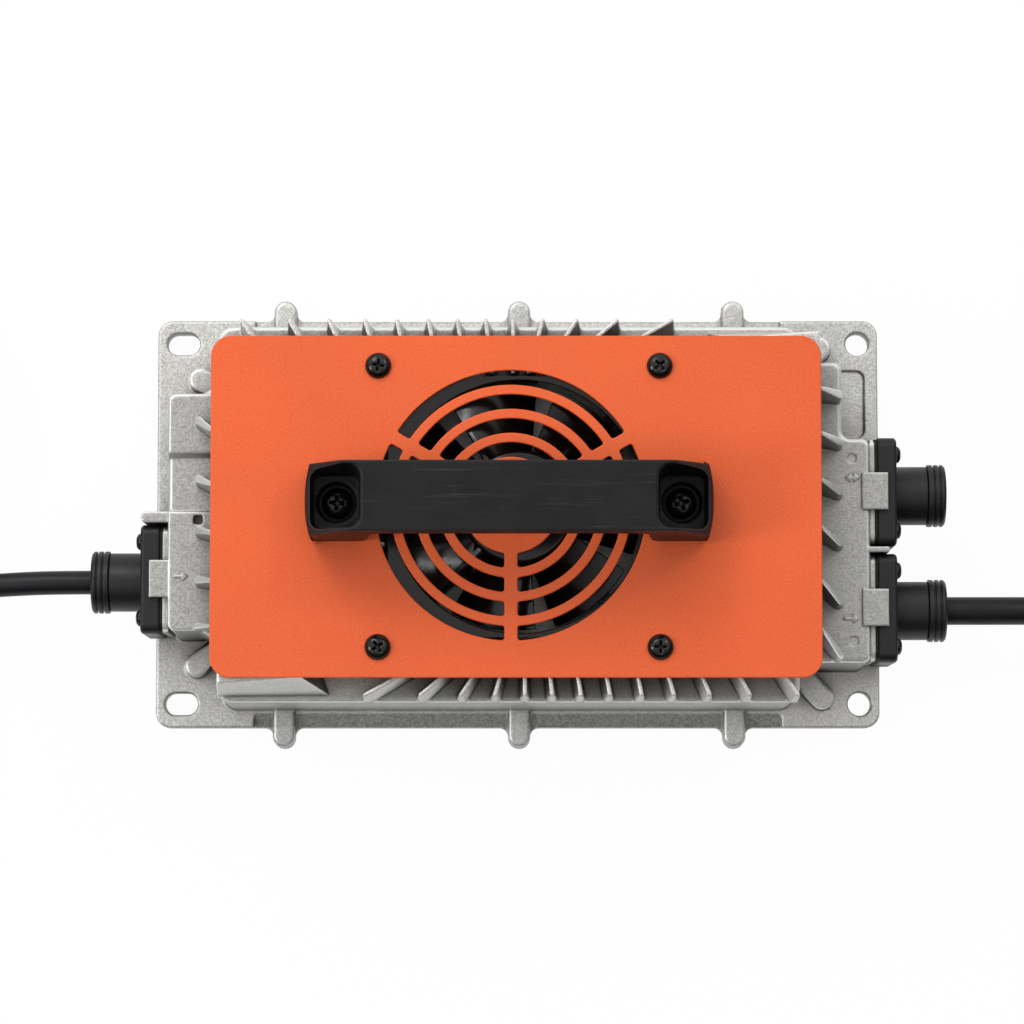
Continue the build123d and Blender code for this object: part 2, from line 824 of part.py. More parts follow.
# Die-cast housing
with BuildPart() as casting:
    extrude(flange_sketch(Plane.XY.offset(cover_thickness)).sketch, amount=flange_thickness)
    fillet(casting.edges().group_by(Axis.Z)[-1], flange_edge)
    # The rim slopes outwards between the ears
    slope_left = rim_slope_margin - flange_length / 2
    slope_right = flange_length / 2 - rim_slope_margin
    for side in (-1, 1):
        with BuildSketch(Plane.YZ.offset(slope_left)):
            with BuildLine():
                Polyline(
                    (side * (flange_width / 2 + tab_reach + 1), flange_top - rim_slope_drop),
                    (side * (flange_width / 2), flange_top - rim_slope_drop),
                    (side * (flange_width / 2 - rim_slope_width), flange_top),
                    (side * (flange_width / 2 - rim_slope_width), flange_top + 1),
                    (side * (flange_width / 2 + tab_reach + 1), flange_top + 1),
                    close=True,
                )
            make_face()
        extrude(amount=slope_right - slope_left, mode=Mode.SUBTRACT)
    # Shallow recess in the flange beside the right block
    with BuildSketch(Plane.XY.offset(flange_top - recess_depth)):
        with Locations(recess_place):
            RectangleRounded(*recess_size, block_corner)
    extrude(amount=recess_depth, mode=Mode.SUBTRACT)
    add(bosses.part)
    add(housing.part)
    add(left_step.part)
    add(left_pad.part)
    add(guards.part)
    add(corner_masses.part)
    add(fins.part)
    # Posts for the plate, the handle and the fan
    with BuildSketch(Plane.XY.offset(ceiling)):
        with Locations(*plate_screw_places):
            Circle(post_radius)
        with Locations(*handle_screw_places):
            Circle(handle_post_radius)
    extrude(amount=plate_bottom - ceiling)
    with BuildSketch(Plane.XY.offset(ceiling)):
        with Locations(*fan_hole_places):
            Circle(fan_post_radius)
    extrude(amount=fan_seat - ceiling)
    # Gland seats, and a finger over each gland flange
    for face_x, seat_x, side, axis_y in (
        (left_block_end, left_seat_face, -1, input_axis),
        (right_block_end, right_seat_face, 1, signal_axis),
        (right_block_end, right_seat_face, 1, output_axis),
    ):
        with BuildSketch(gland_plane(face_x, side, axis_y)):
            RectangleRounded(gland_size - 1, gland_size - 1, gland_corner)
        extrude(amount=abs(seat_x - face_x))
        finger_root = face_x - side * block_corner
        finger_tip = seat_x + side * (gasket_thickness + finger_reach)
        with BuildSketch(Plane.XY.offset(gland_axis_height + gland_size / 2 + clear_gap)):
            box_sketch(
                min(finger_root, finger_tip),
                max(finger_root, finger_tip),
                axis_y - finger_width / 2,
                axis_y + finger_width / 2,
            )
        extrude(amount=finger_thickness)
    # Pin marks of the die and a small notch on the deck
    with BuildSketch(Plane.XY.offset(deck_top - pin_mark_depth)):
        with Locations(*pin_mark_places):
            Circle(pin_mark_radius)
    extrude(amount=pin_mark_depth, mode=Mode.SUBTRACT)
    with BuildSketch(Plane.XY.offset(deck_top - notch_depth)):
        with Locations(notch_place):
            RectangleRounded(*notch_size, 1.0)
    extrude(amount=2 * notch_depth, mode=Mode.SUBTRACT)
    # Inside of the housing, board posts and seal groove
    cavity = cavity_sketch(Plane.XY.offset(cover_thickness)).sketch
    extrude(cavity, amount=ceiling - cover_thickness, mode=Mode.SUBTRACT)
    with BuildSketch(Plane.XY.offset(board_top)):
        with Locations(*board_post_places):
            Circle(board_post_radius)
    extrude(amount=ceiling - board_top + 1)
    groove = seal_sketch(Plane.XY.offset(cover_thickness), seal_gap).sketch
    extrude(groove, amount=seal_height + seal_gap, mode=Mode.SUBTRACT)
    # Screw holes
    with BuildSketch(Plane.XY.offset(cover_thickness)):
        with Locations(*base_screw_places):
            Circle(m4_radius + screw_gap)
    extrude(amount=base_screw_length - cover_thickness + screw_gap, mode=Mode.SUBTRACT)
    with BuildSketch(Plane.XY.offset(fan_seat)):
        with Locations(*fan_hole_places):
            Circle(m4_radius + screw_gap)
    extrude(amount=-fan_screw_reach - screw_gap, mode=Mode.SUBTRACT)
    with BuildSketch(Plane.XY.offset(plate_bottom)):
        with Locations(*plate_screw_places):
            Circle(m5_radius + screw_gap)
    extrude(amount=-plate_screw_reach - screw_gap, mode=Mode.SUBTRACT)
    with BuildSketch(Plane.XY.offset(plate_bottom)):
        with Locations(*handle_screw_places):
            Circle(m6_radius + screw_gap)
    extrude(amount=-handle_screw_reach - screw_gap, mode=Mode.SUBTRACT)
    with BuildSketch(Plane.XY.offset(board_top)):
        with Locations(*board_post_places):
            Circle(m3_radius + screw_gap)
    extrude(amount=board_screw_reach, mode=Mode.SUBTRACT)
    with BuildSketch(Plane.XY.offset(ceiling - 1)):
        with Locations(fan_lead_place):
            Circle(fan_grommet_radius - fan_grommet_lip)
    extrude(amount=deck_thickness + 2, mode=Mode.SUBTRACT)
    for seat_x, side, axis_y in (
        (left_seat_face, -1, input_axis),
        (right_seat_face, 1, signal_axis),
        (right_seat_face, 1, output_axis),
    ):
        with BuildSketch(gland_plane(seat_x, side, axis_y)):
            Circle(gland_spigot_radius + gland_spigot_gap)
        extrude(amount=-gland_spigot_length, mode=Mode.SUBTRACT)
        with BuildSketch(gland_plane(seat_x, side, axis_y)):
            with gland_screw_offsets():
                Circle(gland_screw_radius + screw_gap)
        extrude(amount=-gland_screw_reach - screw_gap, mode=Mode.SUBTRACT)
save(casting, "casting")

# Base cover and its seal
with BuildPart() as base_cover:
    extrude(flange_sketch(Plane.XY).sketch, amount=cover_thickness)
    with BuildSketch(Plane.XY):
        with Locations(*base_screw_places):
            Circle(m4_radius + through_gap)
    extrude(amount=cover_thickness, mode=Mode.SUBTRACT)
    with Locations(*[(x, y, 0) for x, y in base_screw_places]):
        Cone(
            m4_cone_radius + screw_gap,
            m4_radius + screw_gap,
            m4_cone_height,
            align=(Align.CENTER, Align.CENTER, Align.MIN),
            mode=Mode.SUBTRACT,
        )
save(base_cover, "base_cover")

with BuildPart() as base_seal:
    extrude(seal_sketch(Plane.XY.offset(cover_thickness), 0).sketch, amount=seal_height)
save(base_seal, "base_seal")

with BuildPart() as base_screws:
    with Locations(*[(x, y, 0) for x, y in base_screw_places]):
        Cone(m4_cone_radius, m4_radius, m4_cone_height, align=(Align.CENTER, Align.CENTER, Align.MIN))
        Cylinder(m4_radius, base_screw_length, align=(Align.CENTER, Align.CENTER, Align.MIN))
        Box(m4_cone_radius, cross_width, m4_cone_height, mode=Mode.SUBTRACT)
        Box(cross_width, m4_cone_radius, m4_cone_height, mode=Mode.SUBTRACT)
save(base_screws, "base_screws")

# Slotted top plate
with BuildPart() as top_plate:
    with BuildSketch(Plane.XY.offset(plate_bottom)):
        with Locations(plate_centre):
            RectangleRounded(plate_length, plate_width, plate_corner)
        with Locations(*plate_screw_places):
            Circle(m5_radius + through_gap, mode=Mode.SUBTRACT)
        with Locations(*handle_screw_places):
            Circle(m6_radius + through_gap, mode=Mode.SUBTRACT)
    extrude(amount=plate_thickness)
    with BuildSketch(Plane.XY.offset(plate_bottom)) as slots:
        with Locations(grille_centre):
            for ring in reversed(range(grille_rings)):
                slot_start = grille_first_radius + ring * grille_ring_pitch
                Circle(slot_start + grille_slot_width)
                Circle(slot_start, mode=Mode.SUBTRACT)
            grille_radius = grille_first_radius + grille_rings * grille_ring_pitch
            for angle in grille_spoke_angles:
                Rectangle(
                    grille_radius,
                    grille_spoke_width,
                    rotation=angle,
                    align=(Align.MIN, Align.CENTER),
                    mode=Mode.SUBTRACT,
                )
        fillet(slots.vertices(), grille_slot_round)
    extrude(amount=plate_thickness, mode=Mode.SUBTRACT)
save(top_plate, "top_plate")

plate_screws = pan_screws(
    [(x, y, plate_top) for x, y in plate_screw_places],
    (0, 0, 1),
    m5_radius,
    m5_head_radius,
    m5_head_height,
    plate_thickness + plate_screw_reach,
)
save(plate_screws, "plate_screws")

# Bridge handle
with BuildPart() as handle:
    with BuildSketch(Plane.XZ.offset(-handle_centre[1])) as side_view:
        with BuildLine():
            Polyline(
                (handle_centre[0] - handle_length / 2, plate_top),
                (handle_centre[0] - handle_length / 2, plate_top + handle_shoulder),
                (handle_centre[0] - handle_top_length / 2 - handle_top_round, handle_top),
                (handle_centre[0] + handle_top_length / 2 + handle_top_round, handle_top),
                (handle_centre[0] + handle_length / 2, plate_top + handle_shoulder),
                (handle_centre[0] + handle_length / 2, plate_top),
                (handle_centre[0] + handle_gap_foot / 2, plate_top),
                (handle_centre[0] + handle_gap_top / 2, handle_top - handle_grip_thickness),
                (handle_centre[0] - handle_gap_top / 2, handle_top - handle_grip_thickness),
                (handle_centre[0] - handle_gap_foot / 2, plate_top),
                close=True,
            )
        make_face()
        fillet(side_view.vertices().group_by(Axis.Z)[-1], handle_top_round)
        shoulder_z = plate_top + handle_shoulder
        shoulders = side_view.vertices().filter_by(lambda v: abs(v.Z - shoulder_z) < 0.01)
        fillet(shoulders, handle_shoulder_round)
        inner = handle_top - handle_grip_thickness
        fillet(side_view.vertices().filter_by(lambda v: abs(v.Z - inner) < 0.01), handle_gap_round)
    extrude(amount=handle_foot_width, both=True)
    with BuildSketch(Plane.YZ):
        with BuildLine():
            Polyline(
                (handle_centre[1] - handle_foot_width / 2, plate_top),
                (handle_centre[1] - handle_top_width / 2, handle_top),
                (handle_centre[1] + handle_top_width / 2, handle_top),
                (handle_centre[1] + handle_foot_width / 2, plate_top),
                close=True,
            )
        make_face()
    extrude(amount=handle_length, both=True, mode=Mode.INTERSECT)
    # Both ends bulge in plan
    with BuildSketch(Plane.XY.offset(plate_top)) as handle_plan:
        with BuildLine():
            end_arcs = []
            for side in (-1, 1):
                shoulder_x = handle_centre[0] + side * (handle_length / 2 - handle_end_bulge)
                end_arc = ThreePointArc(
                    (shoulder_x, handle_centre[1] + handle_foot_width / 2 + 1),
                    (shoulder_x + side * handle_end_bulge, handle_centre[1]),
                    (shoulder_x, handle_centre[1] - handle_foot_width / 2 - 1),
                )
                end_arcs.append(end_arc)
            Line(end_arcs[0] @ 0, end_arcs[1] @ 0)
            Line(end_arcs[0] @ 1, end_arcs[1] @ 1)
        make_face()
        fillet(handle_plan.vertices(), handle_end_round)
    extrude(amount=handle_height, mode=Mode.INTERSECT)
    # Screw pockets, open upwards
    pocket_start = handle_length / 2 - pocket_end_wall
    pocket_stop = handle_gap_foot / 2 + pocket_inner_wall
    for side in (-1, 1):
        with BuildSketch(Plane.XY.offset(floor_of_pocket)):
            with Locations((handle_centre[0] + side * (pocket_start + pocket_stop) / 2, handle_centre[1])):
                RectangleRounded(
                    pocket_start - pocket_stop,
                    handle_foot_width - 2 * pocket_wall - 2,
                    pocket_corner,
                )
        extrude(amount=handle_height, taper=-pocket_draft, mode=Mode.SUBTRACT)
    with BuildSketch(Plane.XY.offset(floor_of_pocket)):
        with Locations(*handle_screw_places):
            Circle(counterbore_radius)
    extrude(amount=-counterbore_depth, mode=Mode.SUBTRACT)
    with BuildSketch(Plane.XY.offset(floor_of_pocket)):
        with Locations(*handle_screw_places):
            Circle(m6_radius + through_gap)
    extrude(amount=-pocket_floor, mode=Mode.SUBTRACT)
save(handle, "handle")

handle_screws = pan_screws(
    [(x, y, floor_of_pocket - counterbore_depth) for x, y in handle_screw_places],
    (0, 0, 1),
    m6_radius,
    m6_head_radius,
    m6_head_height,
    pocket_floor - counterbore_depth + plate_thickness + handle_screw_reach,
)
save(handle_screws, "handle_screws")

# Fan frame: two flanges, duct, struts and a cup with the bearing tube
with BuildPart() as fan_frame:
    for height, hole in ((fan_seat, fan_hole_radius), (fan_top - fan_flange_thickness, fan_driver_radius)):
        with BuildSketch(Plane.XY.offset(height)):
            with Locations(fan_centre):
                RectangleRounded(fan_size, fan_size, fan_corner)
                Circle(fan_duct_radius, mode=Mode.SUBTRACT)
            with Locations(*fan_hole_places):
                Circle(hole, mode=Mode.SUBTRACT)
        extrude(amount=fan_flange_thickness)
    with BuildSketch(Plane.XY.offset(fan_seat)):
        with Locations(fan_centre):
            Circle(fan_duct_radius + fan_tube_wall)
            Circle(fan_duct_radius, mode=Mode.SUBTRACT)
    extrude(amount=fan_thickness)
    with BuildSketch(Plane.XY.offset(fan_seat)):
        with Locations(fan_centre):
            for angle in strut_angles:
                Rectangle(
                    fan_duct_radius + fan_tube_wall / 2,
                    strut_width,
                    rotation=angle,
                    align=(Align.MIN, Align.CENTER),
                )
            Circle(bearing_bore, mode=Mode.SUBTRACT)
    extrude(amount=strut_thickness)
    with BuildSketch(Plane.XY.offset(fan_seat)):
        with Locations(fan_centre):
            Circle(hub_radius)
    extrude(amount=cup_thickness)
    with BuildSketch(Plane.XY.offset(fan_seat)):
        with Locations(fan_centre):
            Circle(bearing_bore + bearing_tube_wall)
    extrude(amount=bearing_tube_height)
    with BuildSketch(Plane.XY.offset(fan_seat + cup_thickness / 2)):
        with Locations(fan_centre):
            Circle(bearing_bore)
    extrude(amount=bearing_tube_height, mode=Mode.SUBTRACT)
save(fan_frame, "fan_frame")

# Fan rotor: hub cup with swept blades
hub_top = fan_top - hub_top_gap
blade_tip = fan_duct_radius - blade_tip_gap
with BuildPart() as fan_rotor:
    blade_middle = fan_seat + blade_low + blade_height / 2
    for blade in range(blade_count):
        turn = math.radians(360 * blade / blade_count)
        outwards = Vector(math.cos(turn), math.sin(turn), 0)
        along = Vector(-math.sin(turn), math.cos(turn), 0)
        blade_ends = ((hub_radius - hub_wall, blade_root_angle), (fan_duct_radius + 1, blade_tip_angle))
        for radius, angle in blade_ends:
            middle = Vector(fan_centre[0], fan_centre[1], blade_middle) + outwards * radius
            half = blade_height / 2
            run = half / math.tan(math.radians(angle))
            with BuildSketch(Plane(middle, x_dir=along, z_dir=outwards)):
                with BuildLine():
                    ThreePointArc((-run, -half), (-blade_camber * run, blade_camber * half), (run, half))
                trace(line_width=blade_thickness)
        loft()
    with BuildSketch(Plane.XY.offset(fan_seat)):
        with Locations(fan_centre):
            Circle(blade_tip)
    extrude(amount=fan_thickness, mode=Mode.INTERSECT)
    with BuildSketch(Plane.XY.offset(fan_seat + hub_low)):
        with Locations(fan_centre):
            Circle(hub_radius)
    extrude(amount=hub_top - fan_seat - hub_low)
    fillet(fan_rotor.edges().filter_by(GeomType.CIRCLE).group_by(Axis.Z)[-1], hub_wall)
    with BuildSketch(Plane.XY.offset(fan_seat)):
        with Locations(fan_centre):
            Circle(hub_radius - hub_wall)
    extrude(amount=hub_top - hub_cap - fan_seat, mode=Mode.SUBTRACT)
    with BuildSketch(Plane.XY.offset(hub_top - hub_cap - hub_boss_height)):
        with Locations(fan_centre):
            Circle(shaft_radius + hub_wall)
    extrude(amount=hub_boss_height)
    with BuildSketch(Plane.XY.offset(fan_seat)):
        with Locations(fan_centre):
            Circle(shaft_radius + shaft_fit)
    extrude(amount=hub_top - hub_cap / 2 - fan_seat, mode=Mode.SUBTRACT)
save(fan_rotor, "fan_rotor")

with BuildPart() as fan_shaft:
    with BuildSketch(Plane.XY.offset(fan_seat + cup_thickness)):
        with Locations(fan_centre):
            Circle(shaft_radius)
    extrude(amount=hub_top - hub_cap / 2 - fan_seat - cup_thickness - shaft_fit)
save(fan_shaft, "fan_shaft")

bearing_heights = (
    fan_seat + cup_thickness / 2 + shaft_fit,
    fan_seat + bearing_tube_height - bearing_height,
)
with BuildPart() as fan_bearings:
    for height in bearing_heights:
        with BuildSketch(Plane.XY.offset(height)):
            with Locations(fan_centre):
                Circle(bearing_radius)
                Circle(shaft_radius + shaft_fit, mode=Mode.SUBTRACT)
        extrude(amount=bearing_height)
save(fan_bearings, "fan_bearings")

with BuildPart() as fan_magnet:
    with BuildSketch(Plane.XY.offset(hub_top - hub_cap - magnet_height - shaft_fit)):
        with Locations(fan_centre):
            Circle(hub_radius - hub_wall - shaft_fit)
            Circle(hub_radius - hub_wall - magnet_thickness, mode=Mode.SUBTRACT)
    extrude(amount=magnet_height)
save(fan_magnet, "fan_magnet")

with BuildPart() as fan_stator:
    stator_bore = bearing_bore + bearing_tube_wall + screw_gap
    stator_low = fan_seat + strut_thickness + through_gap
    pole_gap_start = stator_radius * 0.6
    with BuildSketch(Plane.XY.offset(stator_low)):
        with Locations(fan_centre):
            Circle(stator_radius * 0.82)
            Circle(stator_bore, mode=Mode.SUBTRACT)
    extrude(amount=stator_height)
    with BuildSketch(Plane.XY.offset(stator_low + stator_height / 4)):
        with Locations(fan_centre):
            Circle(stator_radius)
            Circle(stator_bore, mode=Mode.SUBTRACT)
    extrude(amount=stator_height / 2)
    with BuildSketch(Plane.XY.offset(stator_low)):
        with Locations(fan_centre):
            for pole in range(stator_pole_count):
                turn = math.radians(45 + 360 * pole / stator_pole_count)
                with Locations((pole_gap_start * math.cos(turn), pole_gap_start * math.sin(turn))):
                    Rectangle(
                        stator_radius,
                        stator_slot_width,
                        rotation=math.degrees(turn),
                        align=(Align.MIN, Align.CENTER),
                    )
    extrude(amount=stator_height, mode=Mode.SUBTRACT)
save(fan_stator, "fan_stator")

fan_screws = pan_screws(
    [(x, y, fan_seat + fan_flange_thickness) for x, y in fan_hole_places],
    (0, 0, 1),
    m4_radius,
    m4_head_radius,
    m4_head_height,
    fan_flange_thickness + fan_screw_reach,
)
save(fan_screws, "fan_screws")

# Lead from the fan through the deck to its plug on the board
lead_x, lead_y = fan_lead_place
lead_offset = fan_lead_wire_radius + clear_gap
with BuildPart() as fan_grommet:
    with BuildSketch(Plane.XY.offset(ceiling - fan_grommet_lip)):
        with Locations(fan_lead_place):
            Circle(fan_grommet_radius)
    extrude(amount=fan_grommet_lip)
    with BuildSketch(Plane.XY.offset(ceiling)):
        with Locations(fan_lead_place):
            Circle(fan_grommet_radius - fan_grommet_lip)
    extrude(amount=deck_thickness)
    with BuildSketch(Plane.XY.offset(deck_top)):
        with Locations(fan_lead_place):
            Circle(fan_grommet_radius)
    extrude(amount=fan_grommet_lip)
    with BuildSketch(Plane.XY.offset(ceiling - fan_grommet_lip)):
        with Locations((lead_x - lead_offset, lead_y), (lead_x + lead_offset, lead_y)):
            Circle(fan_lead_wire_radius)
    extrude(amount=deck_thickness + 2 * fan_grommet_lip, mode=Mode.SUBTRACT)
save(fan_grommet, "fan_grommet")

with BuildPart() as fan_lead:
    with BuildSketch(Plane.XY.offset(board_top)):
        with Locations(fan_lead_place):
            Rectangle(fan_lead_plug[0], fan_lead_plug[1])
    extrude(amount=fan_lead_plug[2])
    with BuildSketch(Plane.XY.offset(board_top)):
        with Locations((lead_x - lead_offset, lead_y), (lead_x + lead_offset, lead_y)):
            Circle(fan_lead_wire_radius)
    extrude(amount=fan_seat - board_top)
save(fan_lead, "fan_lead")

# Glands
save_gland("input", gland_plane(left_seat_face, -1, input_axis), input_cable_radius, "grommet")
save_gland("output", gland_plane(right_seat_face, 1, output_axis), output_cable_radius, "grommet")
save_gland("signal", gland_plane(right_seat_face, 1, signal_axis), 0, "blank")


# Circuit board on its posts
with BuildPart() as circuit_board:
    with BuildSketch(Plane.XY.offset(board_underside)):
        board_half_width = body_half_width - board_margin
        box_sketch(body_left + board_margin, body_right - board_margin, -board_half_width, board_half_width)
        with Locations(*board_post_places):
            Circle(m3_radius + through_gap, mode=Mode.SUBTRACT)
    extrude(amount=board_thickness)
save(circuit_board, "circuit_board")

board_screws = pan_screws(
    [(x, y, board_underside) for x, y in board_post_places],
    (0, 0, -1),
    m3_radius,
    m3_head_radius,
    m3_head_height,
    board_thickness + board_screw_reach - screw_gap,
)
save(board_screws, "board_screws")

# Transformer: core with two windows, winding round its middle leg
with BuildPart() as transformer_core:
    with BuildSketch(Plane.XZ.offset(-transformer_place[1])):
        with Locations((transformer_place[0], board_top + transformer_size[2] / 2)):
            Rectangle(transformer_size[0], transformer_size[2])
            for side in (-1, 1):
                with Locations((side * transformer_size[0] / 4, 0)):
                    Rectangle(
                        transformer_size[0] / 2 - transformer_leg,
                        transformer_size[2] - 2 * transformer_yoke,
                        mode=Mode.SUBTRACT,
                    )
    extrude(amount=transformer_size[1] / 4, both=True)
save(transformer_core, "transformer_core")

with BuildPart() as transformer_winding:
    with BuildSketch(Plane.XY.offset(board_top + transformer_yoke + winding_gap)):
        with Locations(transformer_place):
            RectangleRounded(
                transformer_size[0] - transformer_leg - 2 * winding_gap,
                transformer_size[1],
                winding_corner,
            )
            Rectangle(
                transformer_leg + winding_gap,
                transformer_size[1] / 2 + winding_gap,
                mode=Mode.SUBTRACT,
            )
    extrude(amount=transformer_size[2] - 2 * transformer_yoke - 2 * winding_gap)
save(transformer_winding, "transformer_winding")

# Ring choke: core inside single turns of thick wire
with BuildPart() as choke_core:
    with BuildSketch(Plane.XY.offset(board_top + choke_wire)):
        with Locations(choke_place):
            Circle(choke_radius - choke_wire)
            Circle(choke_bore + choke_wire, mode=Mode.SUBTRACT)
    extrude(amount=choke_height - 2 * choke_wire)
save(choke_core, "choke_core")

with BuildPart() as choke_winding:
    with Locations((*choke_place, board_top + choke_height / 2)):
        with PolarLocations((choke_bore + choke_radius) / 2, choke_turns):
            Box(choke_radius - choke_bore, choke_wire, choke_height)
    add(choke_core.part, mode=Mode.SUBTRACT)
save(choke_winding, "choke_winding")

with BuildPart() as filter_choke:
    with BuildSketch(Plane.XY.offset(board_top)):
        with Locations(filter_place):
            RectangleRounded(filter_size[0], filter_size[1], can_round)
    extrude(amount=filter_size[2])
    fillet(filter_choke.edges().group_by(Axis.Z)[-1], can_crimp)
save(filter_choke, "filter_choke")

# Capacitor cans with a crimped ring near the foot
for name, places, radius, height in (
    ("bulk_capacitors", bulk_places, bulk_radius, bulk_height),
    ("output_capacitors", output_can_places, output_can_radius, output_can_height),
):
    with BuildPart() as cans:
        with BuildSketch(Plane.XY.offset(board_top)):
            with Locations(*places):
                Circle(radius)
        extrude(amount=height)
        fillet(cans.edges().group_by(Axis.Z)[-1], can_crimp)
        with BuildSketch(Plane.XY.offset(board_top + can_round)):
            with Locations(*places):
                Circle(radius + 1)
                Circle(radius - can_crimp, mode=Mode.SUBTRACT)
        extrude(amount=can_round, mode=Mode.SUBTRACT)
    save(cans, name)

# Power parts against a bar on the long wall
wall_face = wall - body_half_width
bar_face = wall_face + heat_bar_thickness
with BuildPart() as heat_bar:
    with BuildSketch(Plane.XY.offset(heat_bar_low)):
        box_sketch(-heat_bar_length / 2, heat_bar_length / 2, wall_face, bar_face)
    extrude(amount=heat_bar_height)
save(heat_bar, "heat_bar")

transistor_places = [transistor_start + transistor_pitch * n for n in range(transistor_count)]
power_places = [(x, transistor_size, 3) for x in transistor_places]
power_places.append((rectifier_place, rectifier_size, 4))
with BuildPart() as power_parts:
    for x, size, leg_count in power_places:
        with BuildSketch(Plane.XY.offset(heat_bar_low)):
            box_sketch(x - size[0] / 2, x + size[0] / 2, bar_face, bar_face + size[1])
        extrude(amount=size[2])
        with BuildSketch(Plane.XY.offset(board_top)):
            with Locations((x, bar_face + size[1] / 2)):
                with GridLocations(size[0] / leg_count, 1, leg_count, 1):
                    Rectangle(leg_width, leg_width)
        extrude(amount=heat_bar_low - board_top)
save(power_parts, "power_parts")

with BuildPart() as relay:
    with BuildSketch(Plane.XY.offset(board_top)):
        with Locations(relay_place):
            RectangleRounded(relay_size[0], relay_size[1], can_crimp)
    extrude(amount=relay_size[2])
    chamfer(relay.edges().group_by(Axis.Z)[-1], can_crimp)
save(relay, "relay")

with BuildPart() as fuse:
    with BuildSketch(Plane.YZ.offset(fuse_place[0] - fuse_length / 2)):
        with Locations((fuse_place[1], board_top + 2 * fuse_radius)):
            Circle(fuse_radius)
    extrude(amount=fuse_length)
    with BuildSketch(Plane.XY.offset(board_top)):
        with Locations(fuse_place):
            with GridLocations(fuse_length - 2 * fuse_radius, 1, 2, 1):
                Rectangle(2 * fuse_radius, 2 * fuse_radius + 2 * can_crimp)
    extrude(amount=2 * fuse_radius)
save(fuse, "fuse")

# Screw terminals for the two cables
terminals = (
    (input_terminal_x, input_axis, input_pole_offsets),
    (output_terminal_x, output_axis, output_pole_offsets),
)
with BuildPart() as terminal_blocks:
    for x, y, poles in terminals:
        with BuildSketch(Plane.XY.offset(board_top)):
            with Locations((x, y)):
                Rectangle(terminal_size[0], terminal_size[1])
        extrude(amount=terminal_size[2])
    for x, y, poles in terminals:
        with BuildSketch(Plane.XY.offset(board_top + terminal_size[2])):
            with Locations(*[(x, y + pole) for pole in poles]):
                Circle(m4_radius)
        extrude(amount=-terminal_size[2] / 3, mode=Mode.SUBTRACT)
save(terminal_blocks, "terminal_blocks")

# Cable ends inside the glands and their wires to the terminals
input_ends = (input_points[0][0], input_axis, input_terminal_x, input_pole_offsets)
output_ends = (output_points[0][0], output_axis, output_terminal_x, output_pole_offsets)
for name, side, ends, cable_radius, radius in (
    ("input_wires", -1, input_ends, input_cable_radius, input_wire_radius),
    ("output_wires", 1, output_ends, output_cable_radius, output_wire_radius),
):
    start_x, axis_y, terminal_x, poles = ends
    sheath_end = side * sheath_end_reach
    terminal_face = terminal_x + side * terminal_size[0] / 2
    pole_height = board_top + terminal_size[2] / 2
    with BuildPart() as wires:
        with BuildSketch(Plane.YZ.offset(start_x)):
            with Locations((axis_y, gland_axis_height)):
                Circle(cable_radius)
        extrude(amount=sheath_end - start_x)
        for pole in poles:
            spread = (cable_radius - radius - sheath_wall) * pole / poles[-1]
            corners = (
                (sheath_end + side, axis_y + spread, gland_axis_height),
                (sheath_end - side * wire_run, axis_y + spread, gland_axis_height),
                (terminal_face + side * wire_run, axis_y + pole, pole_height),
                (terminal_face, axis_y + pole, pole_height),
            )
            with BuildLine() as route:
                FilletPolyline(*corners, radius=wire_run / 2)
            with BuildSketch(Plane(corners[0], z_dir=(-side, 0, 0))):
                Circle(radius)
            sweep(path=route.wire())
    save(wires, name)

# Cables, their coils and ties
save_cable("input_cable", input_points, input_cable_radius)
input_coil_place = coil_place(input_points, input_coil_x, input_cable_radius)
save_coil("input", input_coil_place, input_cable_radius, input_coil_layers, input_tie_angles)
save_cable("input_tail", input_tail_points, input_cable_radius)
save_cable("output_cable", output_points, output_cable_radius)
output_coil_place = coil_place(output_points, output_coil_x, output_cable_radius)
save_coil("output", output_coil_place, output_cable_radius, output_coil_layers, output_tie_angles)
save_cable("output_tail", output_tail_points, output_cable_radius)

# Mains plug with two blades and an earth pin
plug_start = end_plane(input_tail_points)
plug_face = plug_start.offset(plug_neck_length + plug_length)
with BuildPart() as input_plug:
    with BuildSketch(plug_start):
        Circle(plug_neck_radius)
    extrude(amount=plug_neck_length)
    with BuildSketch(plug_start.offset(plug_neck_length)):
        RectangleRounded(plug_width, plug_height, plug_round)
    extrude(amount=plug_length)
    chamfer(input_plug.edges().group_by(Axis((0, 0, 0), plug_face.z_dir))[-1], plug_edge)
save(input_plug, "input_plug")

with BuildPart() as input_pins:
    with BuildSketch(plug_face):
        with Locations((-pin_pitch / 2, pin_rise), (pin_pitch / 2, pin_rise)):
            Rectangle(blade_pin_thickness, blade_pin_width)
        with Locations((0, pin_rise - earth_pin_offset)):
            Circle(pin_radius)
    extrude(amount=pin_length)
save(input_pins, "input_pins")

# Battery connector with two contacts
connector_start = end_plane(output_tail_points)
connector_face = connector_start.offset(plug_neck_length + connector_length)
contact_places = ((-connector_width / 4, 0), (connector_width / 4, 0))
with BuildPart() as output_connector:
    with BuildSketch(connector_start):
        Circle(plug_neck_radius)
    extrude(amount=plug_neck_length)
    with BuildSketch(connector_start.offset(plug_neck_length)):
        RectangleRounded(connector_width, connector_height, plug_round / 2)
    extrude(amount=connector_length)
    with BuildSketch(connector_face):
        with Locations(*contact_places):
            Circle(contact_radius + contact_room)
    extrude(amount=-2 * contact_length, mode=Mode.SUBTRACT)
save(output_connector, "output_connector")

with BuildPart() as output_contacts:
    with BuildSketch(connector_face.offset(-2 * contact_length)):
        with Locations(*contact_places):
            Circle(contact_radius)
    extrude(amount=contact_length)
save(output_contacts, "output_contacts")
